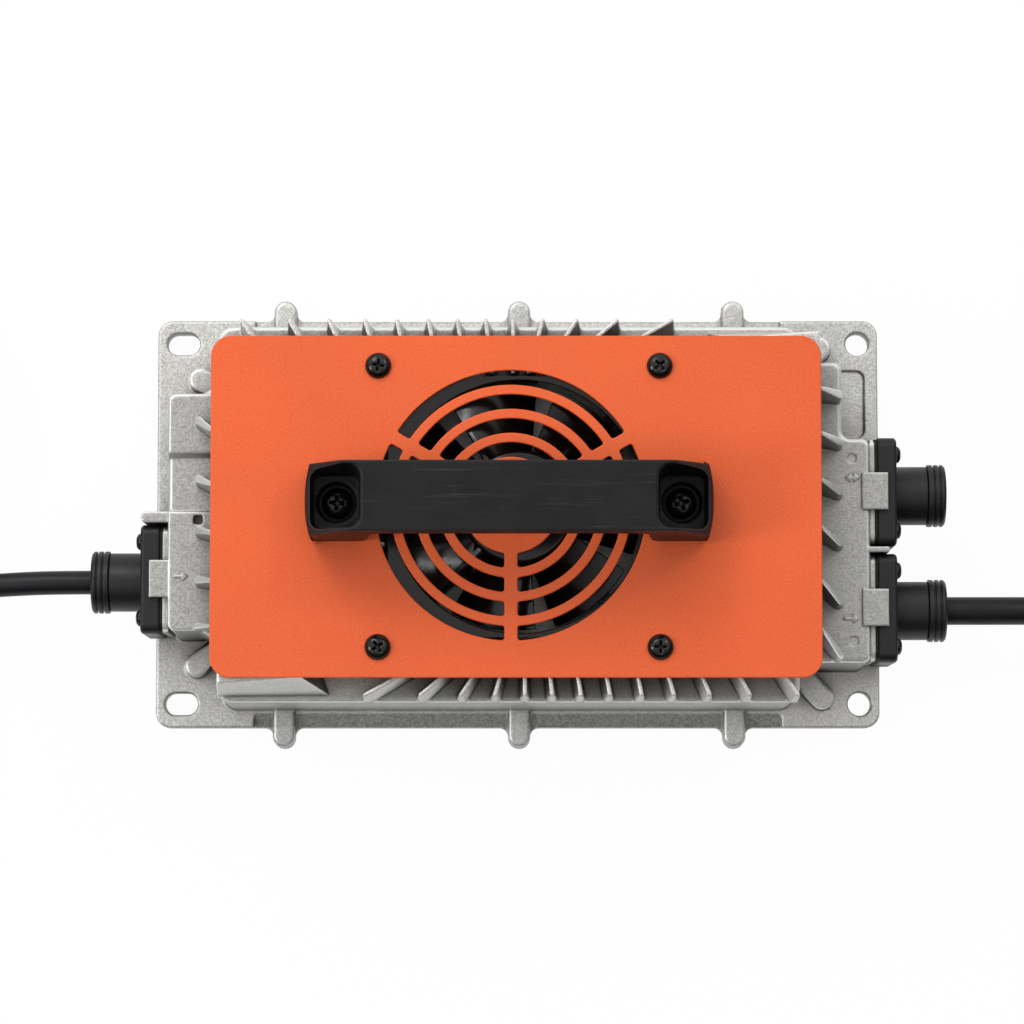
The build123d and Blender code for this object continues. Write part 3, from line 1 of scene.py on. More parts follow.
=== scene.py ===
"""Looks of the waterproof lithium battery charger.

Finishes, softened edges, detailed screws, arrows, laid cables and a plain studio round the CAD pieces.
"""

import json
import math

import bmesh
import bpy
from mathutils import Matrix, Vector
from mathutils.bvhtree import BVHTree
from mathutils.geometry import delaunay_2d_cdt

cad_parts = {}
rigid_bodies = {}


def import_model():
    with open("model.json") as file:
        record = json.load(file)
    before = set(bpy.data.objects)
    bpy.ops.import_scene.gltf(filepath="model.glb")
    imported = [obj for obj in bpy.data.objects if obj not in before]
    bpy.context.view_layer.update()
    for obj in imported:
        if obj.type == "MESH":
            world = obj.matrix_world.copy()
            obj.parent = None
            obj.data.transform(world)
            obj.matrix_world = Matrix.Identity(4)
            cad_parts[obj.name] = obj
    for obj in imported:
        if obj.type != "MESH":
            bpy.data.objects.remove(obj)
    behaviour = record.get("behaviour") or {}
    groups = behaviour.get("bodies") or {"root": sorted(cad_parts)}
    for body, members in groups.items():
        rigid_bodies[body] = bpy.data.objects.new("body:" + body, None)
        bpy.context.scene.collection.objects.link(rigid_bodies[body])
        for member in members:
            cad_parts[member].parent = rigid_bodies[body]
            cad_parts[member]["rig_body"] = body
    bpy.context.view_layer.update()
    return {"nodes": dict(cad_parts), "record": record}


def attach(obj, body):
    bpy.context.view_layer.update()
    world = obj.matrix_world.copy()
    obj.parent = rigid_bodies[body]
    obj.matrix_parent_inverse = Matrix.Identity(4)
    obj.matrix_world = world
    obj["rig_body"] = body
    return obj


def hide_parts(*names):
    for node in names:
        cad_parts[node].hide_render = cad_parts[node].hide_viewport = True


bl_info = {
    "name": "Battery Charger Looks",
    "version": (1, 0, 0),
    "blender": (4, 5, 0),
    "location": "View3D > Sidebar > Charger",
    "description": "Finishes and fine forms of a fan-cooled die-cast battery charger",
    "category": "Object",
}

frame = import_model()
nodes = frame["nodes"]

# Routes of the two cables, in metres, from the gland to the coil and from the coil to the plug
INPUT_RUN = (
    (-0.1515, -0.0232, 0.0300),
    (-0.1680, -0.0232, 0.0300),
    (-0.1840, -0.0238, 0.0284),
    (-0.2020, -0.0249, 0.0254),
    (-0.2220, -0.0256, 0.0234),
    (-0.2440, -0.0253, 0.0229),
)
INPUT_TAIL = (
    (-0.2105, 0.0420, 0.0229),
    (-0.2135, 0.0290, 0.0282),
    (-0.2195, 0.0165, 0.0362),
    (-0.2300, 0.0035, 0.0410),
    (-0.2428, -0.0083, 0.0410),
)
OUTPUT_RUN = (
    (0.1522, -0.0335, 0.0300),
    (0.1710, -0.0335, 0.0300),
    (0.1890, -0.0333, 0.0274),
    (0.2080, -0.0335, 0.0227),
    (0.2290, -0.0342, 0.0184),
    (0.2520, -0.0346, 0.0166),
)
OUTPUT_TAIL = (
    (0.2120, 0.0460, 0.0166),
    (0.2150, 0.0305, 0.0205),
    (0.2220, 0.0150, 0.0275),
    (0.2335, 0.0015, 0.0314),
    (0.2470, -0.0098, 0.0314),
)
INPUT_COIL_X = -0.254
OUTPUT_COIL_X = 0.262
# Degrees that the last turn of each coil goes round before its tail leaves
LAST_TURN = 240.0

# Radii of edges that have no setting of their own, in metres
COVER_EDGE = 0.0004
HANDLE_EDGE = 0.0009
FAN_FRAME_EDGE = 0.0004
BLADE_EDGE = 0.0003
NUT_EDGE = 0.0002
CABLE_END_EDGE = 0.0005
# The housing's edges are rounded up to here. Above it the CAD's own roundings meet at the fins' feet, so
# the shader alone softens the edges there
HOUSING_EDGE_TOP = 0.048

# Points closer than this are one, in metres
WELD = 2e-6
# Faces that lean less than this from each other are one flat face
FLATNESS = math.radians(0.4)
# Cosine between two edges at a point below which one runs on as the other
RUNS_ON = -0.87
# Share of the free room beside an edge that its rounding may take
ROOM_SHARE = 0.45

# Raised arrows, in metres; the root is how deep they reach into the housing
ARROW_LENGTH = 0.0056
ARROW_WIDTH = 0.0038
ARROW_STROKE = 0.0012
ARROW_RISE = 0.00065
ARROW_ROOT = 0.0002
ARROW_EDGE = 0.0002

FLOOR_SIZE = 6.0
FLOOR_GAP = 0.0004
# Share of its own light that the floor shows to the camera; the rest of it takes the shadow
FLOOR_GLOW = 0.965
CAMERA_TILT = math.radians(4.8)
CAMERA_DISTANCE = 1.5
CAMERA_TARGET = Vector((-0.0021, -0.0021, 0.084))
LAMP_TARGET = Vector((0, 0, 0.05))


def linear(code):
    """An sRGB hex colour as linear red, green, blue and alpha."""
    channels = [int(code[i : i + 2], 16) / 255 for i in (1, 3, 5)]
    return tuple(c / 12.92 if c <= 0.04045 else ((c + 0.055) / 1.055) ** 2.4 for c in channels) + (1.0,)


class ChargerSizes(bpy.types.PropertyGroup):
    """Sizes that finish the housing, plate and cables"""

    casting_edge: bpy.props.FloatProperty(
        name="Casting Edge",
        description="Radius that the die leaves on outer edges",
        default=0.0006,
        unit="LENGTH",
    )
    plate_edge: bpy.props.FloatProperty(
        name="Plate Edge",
        description="Radius of the coated sheet edge",
        default=0.00035,
        unit="LENGTH",
    )
    moulding_edge: bpy.props.FloatProperty(
        name="Moulding Edge",
        description="Radius on the edges of moulded parts",
        default=0.0006,
        unit="LENGTH",
    )
    input_cable: bpy.props.FloatProperty(
        name="Input Cable",
        description="Outer diameter of the mains cable",
        default=0.0086,
        unit="LENGTH",
    )
    output_cable: bpy.props.FloatProperty(
        name="Output Cable",
        description="Outer diameter of the battery cable",
        default=0.0101,
        unit="LENGTH",
    )


class ChargerColours(bpy.types.PropertyGroup):
    """Colours of the main finishes"""

    plate: bpy.props.FloatVectorProperty(
        name="Plate",
        description="Powder coat of the top plate",
        subtype="COLOR",
        size=4,
        default=linear("#E55E2C"),
    )
    metal: bpy.props.FloatVectorProperty(
        name="Casting",
        description="Shot-blasted aluminium",
        subtype="COLOR",
        size=4,
        default=linear("#C9C8C4"),
    )
    handle: bpy.props.FloatVectorProperty(
        name="Handle",
        description="Moulded handle",
        subtype="COLOR",
        size=4,
        default=linear("#111112"),
    )


def add_node(tree, kind, inputs=None, **settings):
    """A node with its settings; each input is given a value or linked to a socket."""
    made = tree.nodes.new(kind)
    for key, value in settings.items():
        setattr(made, key, value)
    for key, value in (inputs or {}).items():
        if isinstance(value, bpy.types.NodeSocket):
            tree.links.new(value, made.inputs[key])
        else:
            made.inputs[key].default_value = value
    return made


def maths(tree, operation, *values):
    """The result of a Math node on values or sockets."""
    return add_node(tree, "ShaderNodeMath", dict(enumerate(values)), operation=operation).outputs[0]


def new_finish(name):
    """A new material with its tree, its shader and Object coordinates."""
    material = bpy.data.materials.new(name)
    material.use_nodes = True
    tree = material.node_tree
    tree.nodes.clear()
    output = add_node(tree, "ShaderNodeOutputMaterial")
    shader = add_node(tree, "ShaderNodeBsdfPrincipled")
    tree.links.new(shader.outputs["BSDF"], output.inputs["Surface"])
    where = add_node(tree, "ShaderNodeTexCoord").outputs["Object"]
    return material, tree, shader, where


def grain(tree, where, size_mm, detail=2.0, roughness=0.5):
    """Noise whose grains are about size_mm across."""
    return add_node(
        tree,
        "ShaderNodeTexNoise",
        {"Vector": where, "Scale": 1000.0 / size_mm, "Detail": detail, "Roughness": roughness},
    ).outputs["Fac"]


def span(tree, value, low, high, start=0.3, stop=0.7):
    """A value that goes from low to high while the pattern goes from start to stop."""
    return add_node(
        tree,
        "ShaderNodeMapRange",
        {"Value": value, "From Min": start, "From Max": stop, "To Min": low, "To Max": high},
    ).outputs["Result"]


def mixed(tree, factor, first, second):
    """Two colours mixed by a factor."""
    mix = add_node(tree, "ShaderNodeMix", {0: factor}, data_type="RGBA")
    for socket, value in ((mix.inputs[6], first), (mix.inputs[7], second)):
        if isinstance(value, bpy.types.NodeSocket):
            tree.links.new(value, socket)
        else:
            socket.default_value = value
    return mix.outputs[2]


def shaded(colour, share):
    """A colour made lighter or darker by a share."""
    return tuple(min(1.0, c * share) for c in colour[:3]) + (1.0,)


def edge_pattern(tree, radius_mm, start, stop):
    """A pattern that is 1 along edges and 0 on open faces, and the normal that rounds those edges."""
    rounded = add_node(tree, "ShaderNodeBevel", {"Radius": radius_mm / 1000}, samples=6).outputs["Normal"]
    facing = add_node(tree, "ShaderNodeNewGeometry").outputs["Normal"]
    agree = add_node(tree, "ShaderNodeVectorMath", {0: rounded, 1: facing}, operation="DOT_PRODUCT")
    return span(tree, agree.outputs["Value"], 1.0, 0.0, start, stop), rounded


def dented(tree, shader, height, depth_mm, strength, normal=None):
    """Small relief on the surface from a pattern, about a rounded normal where there is one."""
    inputs = {"Height": height, "Distance": depth_mm / 1000, "Strength": strength}
    if normal is not None:
        inputs["Normal"] = normal
    bump = add_node(tree, "ShaderNodeBump", inputs)
    tree.links.new(bump.outputs["Normal"], shader.inputs["Normal"])


def plain_finish(name, code, grain_mm, rough, metallic, bump_mm, contrast, shine=0.5, worn_and_lit_edge=None):
    """A moulded, sintered or wound surface: two shades of one colour in fine grains, with uneven gloss."""
    material, tree, shader, where = new_finish(name)
    # The fine grains are coarser than real ones, so that they show
    fine = grain(tree, where, grain_mm)
    broad = grain(tree, where, 14.0, 3.0)
    colour = linear(code)
    base = mixed(tree, span(tree, fine, 0.0, 1.0), shaded(colour, 1 - contrast), shaded(colour, 1 + contrast))
    rounded = None
    # Lighter edges where a colour is given: in part wear, in part a painted highlight
    if worn_and_lit_edge:
        edges, rounded = edge_pattern(tree, 0.7, 0.85, 0.98)
        base = mixed(tree, edges, base, linear(worn_and_lit_edge))
    tree.links.new(base, shader.inputs["Base Color"])
    tree.links.new(span(tree, broad, *rough), shader.inputs["Roughness"])
    shader.inputs["Metallic"].default_value = metallic
    shader.inputs["Specular IOR Level"].default_value = shine
    dented(tree, shader, fine, bump_mm, 1.0, rounded)
    return material


def shot_blasted_aluminium(colour):
    """Die-cast aluminium, blasted with fine shot: tiny dents, edges lightened by wear and a painted
    highlight, and painted shade in corners, on steep walls and on the decks.
    """
    material, tree, shader, where = new_finish("shot_blasted_aluminium")
    # Dents are about 0.5 mm across, a little coarser than real ones so that they show
    dents = add_node(
        tree, "ShaderNodeTexVoronoi", {"Vector": where, "Scale": 2000.0, "Randomness": 1.0}, feature="F1"
    )
    cell = add_node(tree, "ShaderNodeSeparateColor", {"Color": dents.outputs["Color"]}).outputs["Red"]
    fine = grain(tree, where, 0.6, 3.0, 0.6)
    broad = grain(tree, where, 22.0, 4.0, 0.6)
    facing = add_node(tree, "ShaderNodeNewGeometry").outputs["Normal"]
    upward = add_node(tree, "ShaderNodeSeparateXYZ", {"Vector": facing}).outputs["Z"]
    height = add_node(tree, "ShaderNodeSeparateXYZ", {"Vector": where}).outputs["Z"]
    # Painted shade: steep walls are made darker than flat faces, the thin fins less so
    steep_shade_level = span(tree, height, 0.6, 0.92, 0.052, 0.058)
    painted_wall_shade = span(tree, upward, steep_shade_level, 1.0, 0.15, 0.85)
    # Painted shade: the decks and channels above the walls are made darker than the flange,
    # up to where the fins stand free
    deck_shade_level = span(tree, height, 0.75, 1.0, 0.053, 0.06)
    painted_deck_shade = span(tree, height, 1.0, deck_shade_level, 0.046, 0.05)
    shade = maths(tree, "MULTIPLY", span(tree, cell, 0.7, 1.18, 0.0, 1.0), painted_wall_shade)
    shade = maths(tree, "MULTIPLY", shade, painted_deck_shade)
    shade = maths(tree, "MULTIPLY", shade, span(tree, broad, 0.94, 1.04))
    tinted = add_node(tree, "ShaderNodeHueSaturation", {"Value": shade, "Color": tuple(colour)})
    # Painted shade: corners and channels with little open room round them are darkened towards dark grey
    openness = add_node(tree, "ShaderNodeAmbientOcclusion", {"Distance": 0.02}, samples=6).outputs["AO"]
    corner = span(tree, openness, 0.9, 0.0, 0.2, 0.62)
    base = mixed(tree, corner, tinted.outputs["Color"], linear("#4E4A46"))
    # Edges are rounded over about a millimetre and lightened: partly polish from wear, partly painted
    # highlight
    edges, rounded = edge_pattern(tree, 1.2, 0.84, 0.985)
    # Painted highlight: the rounded shoulders above the flange, which are neither level nor steep, are
    # lightened too
    painted_shoulder_highlight = span(tree, upward, 0.0, 0.9, 0.25, 0.5)
    painted_shoulder_highlight = maths(tree, "MULTIPLY", painted_shoulder_highlight, span(tree, upward, 1.0, 0.0, 0.9, 0.985))
    painted_shoulder_highlight = maths(tree, "MULTIPLY", painted_shoulder_highlight, span(tree, height, 0.0, 1.0, 0.008, 0.012))
    edge_polish_and_highlight = maths(tree, "MAXIMUM", edges, painted_shoulder_highlight)
    edge_polish_and_highlight = maths(tree, "MULTIPLY", edge_polish_and_highlight, span(tree, openness, 0.3, 0.85, 0.5, 0.75))
    # Edges and shoulders are mixed towards near-white: wear and painted highlight
    base = mixed(tree, edge_polish_and_highlight, base, linear("#FAFAF8"))
    tree.links.new(base, shader.inputs["Base Color"])
    shader.inputs["Metallic"].default_value = 0.85
    tree.links.new(span(tree, cell, 0.34, 0.5, 0.0, 1.0), shader.inputs["Roughness"])
    dented(tree, shader, maths(tree, "ADD", fine, cell), 0.025, 0.9, rounded)
    return material


def powder_coat(colour):
    """Orange polyester powder coat: satin, with a fine orange peel and faint paler specks."""
    material, tree, shader, where = new_finish("orange_powder_coat")
    peel = grain(tree, where, 0.9, 2.0, 0.45)
    specks = grain(tree, where, 0.5, 1.0)
    broad = grain(tree, where, 45.0, 2.0)
    base = mixed(tree, span(tree, broad, 0.0, 1.0), shaded(colour, 0.96), shaded(colour, 1.03))
    base = mixed(tree, span(tree, specks, 0.0, 0.42, 0.52, 0.72), base, linear("#F08A5C"))
    tree.links.new(base, shader.inputs["Base Color"])
    tree.links.new(span(tree, peel, 0.36, 0.5), shader.inputs["Roughness"])
    shader.inputs["Specular IOR Level"].default_value = 0.3
    dented(tree, shader, peel, 0.08, 0.9)
    return material


def scuffed_handle_plastic(colour):
    """Glass-filled nylon, moulded matt: grey-black, with a dull bloom and fine scratches from use."""
    material, tree, shader, where = new_finish("scuffed_handle_nylon")
    fine = grain(tree, where, 0.5, 2.0)
    bloom = grain(tree, where, 18.0, 4.0, 0.65)
    # Scratches run nearly along the handle, a little broader than real ones so that they show
    turned = add_node(
        tree,
        "ShaderNodeMapping",
        {"Vector": where, "Rotation": (0.0, 0.0, 0.35), "Scale": (25.0, 1100.0, 300.0)},
    ).outputs["Vector"]
    scratch = add_node(
        tree, "ShaderNodeTexNoise", {"Vector": turned, "Scale": 1.0, "Detail": 3.0, "Roughness": 0.7}
    ).outputs["Fac"]
    marks = span(tree, scratch, 0.0, 1.0, 0.61, 0.69)
    base = mixed(tree, span(tree, bloom, 0.0, 1.0), shaded(colour, 0.75), shaded(colour, 1.8))
    base = mixed(tree, marks, base, linear("#2C2C2E"))
    # Lighter edges: in part wear, in part a painted highlight
    edges, rounded = edge_pattern(tree, 1.2, 0.8, 0.98)
    base = mixed(tree, edges, base, linear("#3A3A3C"))
    tree.links.new(base, shader.inputs["Base Color"])
    tree.links.new(span(tree, bloom, 0.36, 0.56), shader.inputs["Roughness"])
    shader.inputs["Specular IOR Level"].default_value = 0.22
    dented(tree, shader, maths(tree, "SUBTRACT", fine, marks), 0.03, 0.8, rounded)
    return material


finishes = {}


def make_finishes():
    """All finishes, made once, by the name of the record's material slot."""
    if finishes:
        return finishes
    colours = bpy.context.scene.charger_colours
    # Of each plain finish: name, colour, grain in mm, range of roughness, metallic, depth of grain in mm,
    # contrast, specular level and the colour of its edges, lightened by wear and a painted highlight
    finishes.update(
        cast_aluminium=shot_blasted_aluminium(colours.metal),
        sheet_aluminium=plain_finish("rolled_aluminium_sheet", "#B9B9B8", 0.8, (0.35, 0.5), 0.9, 0.005, 0.06),
        orange_paint=powder_coat(colours.plate),
        handle_plastic=scuffed_handle_plastic(colours.handle),
        gland_plastic=plain_finish(
            "moulded_gland_nylon", "#17181A", 0.5, (0.34, 0.5), 0.0, 0.015, 0.2, 0.35, "#3C3E42"
        ),
        fan_plastic=plain_finish("moulded_fan_plastic", "#140F0D", 0.8, (0.12, 0.2), 0.0, 0.004, 0.1, 0.38),
        black_steel=plain_finish(
            "black_zinc_screw_steel", "#131211", 0.5, (0.12, 0.2), 0.3, 0.004, 0.2, 0.5, "#4A4846"
        ),
        steel=plain_finish("ground_steel", "#B4B4B6", 0.4, (0.2, 0.3), 1.0, 0.003, 0.05),
        black_rubber=plain_finish("moulded_rubber", "#121213", 0.7, (0.55, 0.7), 0.0, 0.02, 0.15, 0.3),
        cable_sheath=plain_finish("rubber_cable_sheath", "#0E0F12", 0.9, (0.38, 0.5), 0.0, 0.03, 0.12, 0.28),
        ferrite=plain_finish("sintered_ferrite", "#3A3A3D", 0.4, (0.5, 0.7), 0.0, 0.02, 0.1),
        copper=plain_finish("enamelled_copper_wire", "#B86A3C", 0.6, (0.2, 0.3), 0.8, 0.01, 0.1),
        board_laminate=plain_finish("green_board_laminate", "#145A2C", 1.2, (0.3, 0.42), 0.0, 0.01, 0.1),
        part_plastic=plain_finish("moulded_component_plastic", "#20242C", 0.6, (0.35, 0.5), 0.0, 0.01, 0.1),
        terminal_plastic=plain_finish("moulded_terminal_nylon", "#2A7A48", 0.6, (0.4, 0.55), 0.0, 0.01, 0.1),
        fuse_glass=plain_finish("fuse_glass", "#C8D6D6", 1.0, (0.05, 0.1), 0.0, 0.001, 0.03),
        contact_brass=plain_finish("plated_brass", "#D0B070", 0.5, (0.2, 0.32), 1.0, 0.004, 0.06),
    )
    return finishes


def slot_of(node_name):
    """The material slot that the record gives a CAD node."""
    for part in frame["record"]["subparts"]:
        if part["node"] == node_name:
            return part["material_slot"]
    raise ValueError("no slot for " + node_name)


def placed(name, data):
    """A new object in the scene."""
    piece = bpy.data.objects.new(name, data)
    bpy.context.scene.collection.objects.link(piece)
    return piece


def bevelled(piece, width, segments):
    """The bevel that rounds a piece's edges."""
    bevel = piece.modifiers.new("edges", "BEVEL")
    bevel.width = width
    bevel.segments = segments
    return bevel


def paint(piece, material):
    """One material on the whole of a piece."""
    piece.data.materials.clear()
    piece.data.materials.append(material)


def finish_nodes(*names):
    """The finish of its slot on each CAD node that stays as it is."""
    for name in names:
        paint(nodes[name], make_finishes()[slot_of(name)])


def flattened(piece):
    """The same object with its modifiers turned into plain mesh."""
    depsgraph = bpy.context.evaluated_depsgraph_get()
    mesh = bpy.data.meshes.new_from_object(piece.evaluated_get(depsgraph))
    old = piece.data
    piece.modifiers.clear()
    piece.data = mesh
    if old.users == 0 and isinstance(old, bpy.types.Mesh):
        bpy.data.meshes.remove(old)
    return piece


def times_round(outline, point):
    """How often a closed outline runs anticlockwise round a point."""
    count = 0
    for start, stop in zip(outline, outline[1:] + outline[:1]):
        side = (stop.x - start.x) * (point.y - start.y) - (point.x - start.x) * (stop.y - start.y)
        if start.y <= point.y < stop.y and side > 0:
            count += 1
        elif stop.y <= point.y < start.y and side < 0:
            count -= 1
    return count


def nearest_on_outline(outline, point):
    """The side of a closed outline that is nearest to a point, and how far along that side it is."""
    found = (math.inf, 0, 0.0)
    for number, start in enumerate(outline):
        line = outline[(number + 1) % len(outline)] - start
        share = min(1.0, max(0.0, (point - start).dot(line) / max(line.length_squared, 1e-12)))
        found = min(found, ((point - start - share * line).length_squared, number, share))
    return found[1:]


def retiled(mesh):
    """The same mesh with its many-sided flat faces cut into triangles that keep inside their outlines."""
    places = [vert.co.copy() for vert in mesh.vertices]
    corner_normals = [tuple(corner.vector) for corner in mesh.corner_normals]
    faces = []
    normals = []
    for polygon in mesh.polygons:
        corners = list(polygon.vertices)
        known = {v: corner_normals[i] for v, i in zip(corners, polygon.loop_indices)}
        if len(corners) <= 4:
            faces.append(corners)
            normals.extend(known[v] for v in corners)
            continue
        facing = polygon.normal
        across = facing.orthogonal().normalized()
        upwards = facing.cross(across)
        # The face's outline in millimetres and the triangles inside it
        inside, close = 1, 1e-4
        offsets = [places[v] - places[corners[0]] for v in corners]
        flat = [1000 * Vector((offset.dot(across), offset.dot(upwards))) for offset in offsets]
        outline = [list(range(len(corners)))]
        points, _, tiles, sources, _, _ = delaunay_2d_cdt(flat, [], outline, inside, close)
        numbers = []
        for point, source in zip(points, sources):
            if source:
                numbers.append(corners[source[0]])
            else:
                side, share = nearest_on_outline(flat, point)
                numbers.append(len(places))
                places.append(places[corners[side]].lerp(places[corners[(side + 1) % len(corners)]], share))
        for tile in tiles:
            middle = sum((points[i] for i in tile), Vector((0, 0))) / len(tile)
            tile = [numbers[i] for i in tile]
            if len(set(tile)) == len(tile) and times_round(flat, middle) != 0:
                faces.append(tile)
                normals.extend(known.get(v, tuple(facing)) for v in tile)
    made = bpy.data.meshes.new(mesh.name)
    made.from_pydata(places, [], faces)
    for polygon in made.polygons:
        polygon.use_smooth = True
    made.normals_split_custom_set(normals)
    return made


def free_room(edge):
    """How wide the rounding of an edge may be before it meets the edges beside it."""
    room = math.inf
    for vert in edge.verts:
        along = (edge.other_vert(vert).co - vert.co).normalized()
        for other in vert.link_edges:
            aside = other.other_vert(vert).co - vert.co
            cosine = along.dot(aside) / max(aside.length, 1e-9)
            if other is not edge and cosine >= RUNS_ON:
                room = min(room, ROOM_SHARE * aside.length * math.sqrt(max(0.0, 1.0 - cosine * cosine)))
    start = edge.verts[0].co
    line = edge.verts[1].co - start
    for vert in {vert for face in edge.link_faces for vert in face.verts} - set(edge.verts):
        aside = vert.co - start
        share = aside.dot(line) / line.length_squared
        if 0.0 < share < 1.0:
            room = min(room, ROOM_SHARE * (aside - share * line).length)
    return room


def ease_widths(work, widths):
    """Bring two widths close to each other where their edges run on in nearly one line of a face."""
    least_bend, rounds = 0.03, 60
    steps = []
    for face in work.faces:
        for loop in face.loops:
            first, second = loop.edge, loop.link_loop_prev.edge
            if first not in widths and second not in widths:
                continue
            onward = first.other_vert(loop.vert).co - loop.vert.co
            back = second.other_vert(loop.vert).co - loop.vert.co
            cosine = onward.dot(back) / max(onward.length * back.length, 1e-12)
            sine = math.sqrt(max(0.0, 1.0 - cosine * cosine))
            if cosine < RUNS_ON and sine > least_bend:
                steps.append((first, second, 0.5 * sine * min(onward.length, back.length)))
    for _ in range(rounds):
        changed = False
        for first, second, step in steps:
            one, two = widths.get(first, 0.0), widths.get(second, 0.0)
            if one > two + step:
                widths[first] = two + step
                changed = True
            elif two > one + step:
                widths[second] = one + step
                changed = True
        if not changed:
            break


def weigh_edges(work, width, angle, top):
    """A bevel weight for each sharp edge below top, less where others are near or its line of edges ends."""
    weights = work.edges.layers.float.new("bevel_weight_edge")
    least_share, full_bend = 0.1, math.radians(15)
    widths = {}
    for edge in work.edges:
        bend = edge.calc_face_angle(0.0)
        if len(edge.link_faces) == 2 and bend >= angle and max(vert.co.z for vert in edge.verts) <= top:
            room = width * min(1.0, least_share + (bend - angle) / full_bend)
            widths[edge] = min(room, free_room(edge))
    ease_widths(work, widths)
    for edge, room in widths.items():
        edge[weights] = room / width


def softened(node_name, edge, angle=26.0, steps=2, top=1.0):
    """A copy of a CAD node with its edges rounded, which stands for the node."""
    mesh = nodes[node_name].data.copy()
    work = bmesh.new()
    work.from_mesh(mesh)
    bmesh.ops.remove_doubles(work, verts=work.verts, dist=WELD)
    bmesh.ops.dissolve_limit(work, angle_limit=FLATNESS, verts=work.verts, edges=work.edges)
    work.normal_update()
    weigh_edges(work, edge, math.radians(angle), top)
    for face in work.faces:
        face.smooth = True
    for line in work.edges:
        line.smooth = line.calc_face_angle(0.0) < math.radians(angle)
    work.to_mesh(mesh)
    work.free()
    piece = placed(node_name + "_soft", mesh)
    bevel = bevelled(piece, edge, steps)
    bevel.limit_method = "WEIGHT"
    bevel.use_clamp_overlap = False
    bevel.miter_outer = "MITER_ARC"
    flat = piece.modifiers.new("flat faces", "WEIGHTED_NORMAL")
    flat.keep_sharp = True
    flattened(piece)
    piece.data = retiled(piece.data)
    paint(piece, make_finishes()[slot_of(node_name)])
    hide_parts(node_name)
    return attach(piece, nodes[node_name]["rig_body"])


def turned_profile(points, steps):
    """A closed mesh made by turning a profile of (radius, height) points about Z."""
    work = bmesh.new()
    rings = []
    for radius, height in points:
        turns = [math.tau * i / steps for i in range(steps if radius > 0 else 1)]
        rings.append([work.verts.new((radius * math.cos(a), radius * math.sin(a), height)) for a in turns])
    for upper, lower in zip(rings, rings[1:]):
        for i in range(steps):
            j = (i + 1) % steps
            # A ring of one point is the tip of a cone, whose faces have three corners
            sides = ((upper, i), (lower, i), (lower, j), (upper, j))
            work.faces.new(list(dict.fromkeys(ring[number % len(ring)] for ring, number in sides)))
    bmesh.ops.recalc_face_normals(work, faces=work.faces)
    mesh = bpy.data.meshes.new("turned")
    work.to_mesh(mesh)
    work.free()
    return mesh


def screw_template():
    """A pan-head screw of head radius 1, with a cross recess, seated at the origin."""
    head = (
        (0, 0.62),
        (0.3, 0.615),
        (0.55, 0.57),
        (0.76, 0.47),
        (0.9, 0.33),
        (0.98, 0.17),
        (1.0, 0.05),
        (0.97, 0.0),
    )
    shank = ((0.54, 0.0), (0.54, -0.8), (0, -0.8))
    screw = placed("screw_template", turned_profile(head + shank, steps=40))
    # Length, width and height of each slot of the recess at its mouth and at its floor
    mouth, bottom = (1.24, 0.27, 0.75), (0.36, 0.12, 0.02)
    work = bmesh.new()
    for turn in (0, math.pi / 2):
        for vert in bmesh.ops.create_cube(work, size=1.0)["verts"]:
            length, width, height = mouth if vert.co.z > 0 else bottom
            place = Vector((length * vert.co.x, width * vert.co.y, height))
            vert.co = Matrix.Rotation(turn, 3, "Z") @ place
    mesh = bpy.data.meshes.new("recess")
    work.to_mesh(mesh)
    work.free()
    recess = placed("recess", mesh)
    cut = screw.modifiers.new("recess", "BOOLEAN")
    cut.object = recess
    cut.operation = "DIFFERENCE"
    cut.solver = "EXACT"
    cut.use_self = True
    bevel = bevelled(screw, 0.03, 2)
    bevel.limit_method = "ANGLE"
    bevel.angle_limit = math.radians(40)
    flattened(screw)
    bpy.data.objects.remove(recess)
    for polygon in screw.data.polygons:
        polygon.use_smooth = True
    screw.data.set_sharp_from_angle(angle=math.radians(38))
    return screw


def screw_tree(template):
    """Geometry nodes that seat one screw on each point, turned at random about its axis."""
    tree = bpy.data.node_groups.new("seated_screws", "GeometryNodeTree")
    for name, kind in (
        ("Points", "NodeSocketGeometry"),
        ("Head Radius", "NodeSocketFloat"),
        ("Axis", "NodeSocketVector"),
        ("Seed", "NodeSocketInt"),
        ("Finish", "NodeSocketMaterial"),
    ):
        tree.interface.new_socket(name, in_out="INPUT", socket_type=kind)
    tree.interface.new_socket("Screws", in_out="OUTPUT", socket_type="NodeSocketGeometry")
    given = add_node(tree, "NodeGroupInput")
    screw = add_node(tree, "GeometryNodeObjectInfo", {"Object": template})
    aim = add_node(tree, "FunctionNodeAlignRotationToVector", {"Vector": given.outputs["Axis"]}, axis="Z")
    twist = add_node(
        tree,
        "FunctionNodeRandomValue",
        {"Min": 0.0, "Max": math.tau, "Seed": given.outputs["Seed"]},
        data_type="FLOAT",
    )
    spin = add_node(tree, "FunctionNodeAxisAngleToRotation", {"Axis": (0, 0, 1), "Angle": twist.outputs[1]})
    both = add_node(
        tree,
        "FunctionNodeRotateRotation",
        {"Rotation": aim.outputs[0], "Rotate By": spin.outputs[0]},
        rotation_space="LOCAL",
    )
    seated = add_node(
        tree,
        "GeometryNodeInstanceOnPoints",
        {
            "Points": given.outputs["Points"],
            "Instance": screw.outputs["Geometry"],
            "Rotation": both.outputs[0],
            "Scale": given.outputs["Head Radius"],
        },
    )
    real = add_node(tree, "GeometryNodeRealizeInstances", {"Geometry": seated.outputs[0]})
    coat = add_node(
        tree, "GeometryNodeSetMaterial", {"Geometry": real.outputs[0], "Material": given.outputs["Finish"]}
    )
    add_node(tree, "NodeGroupOutput", {"Screws": coat.outputs[0]})
    return tree


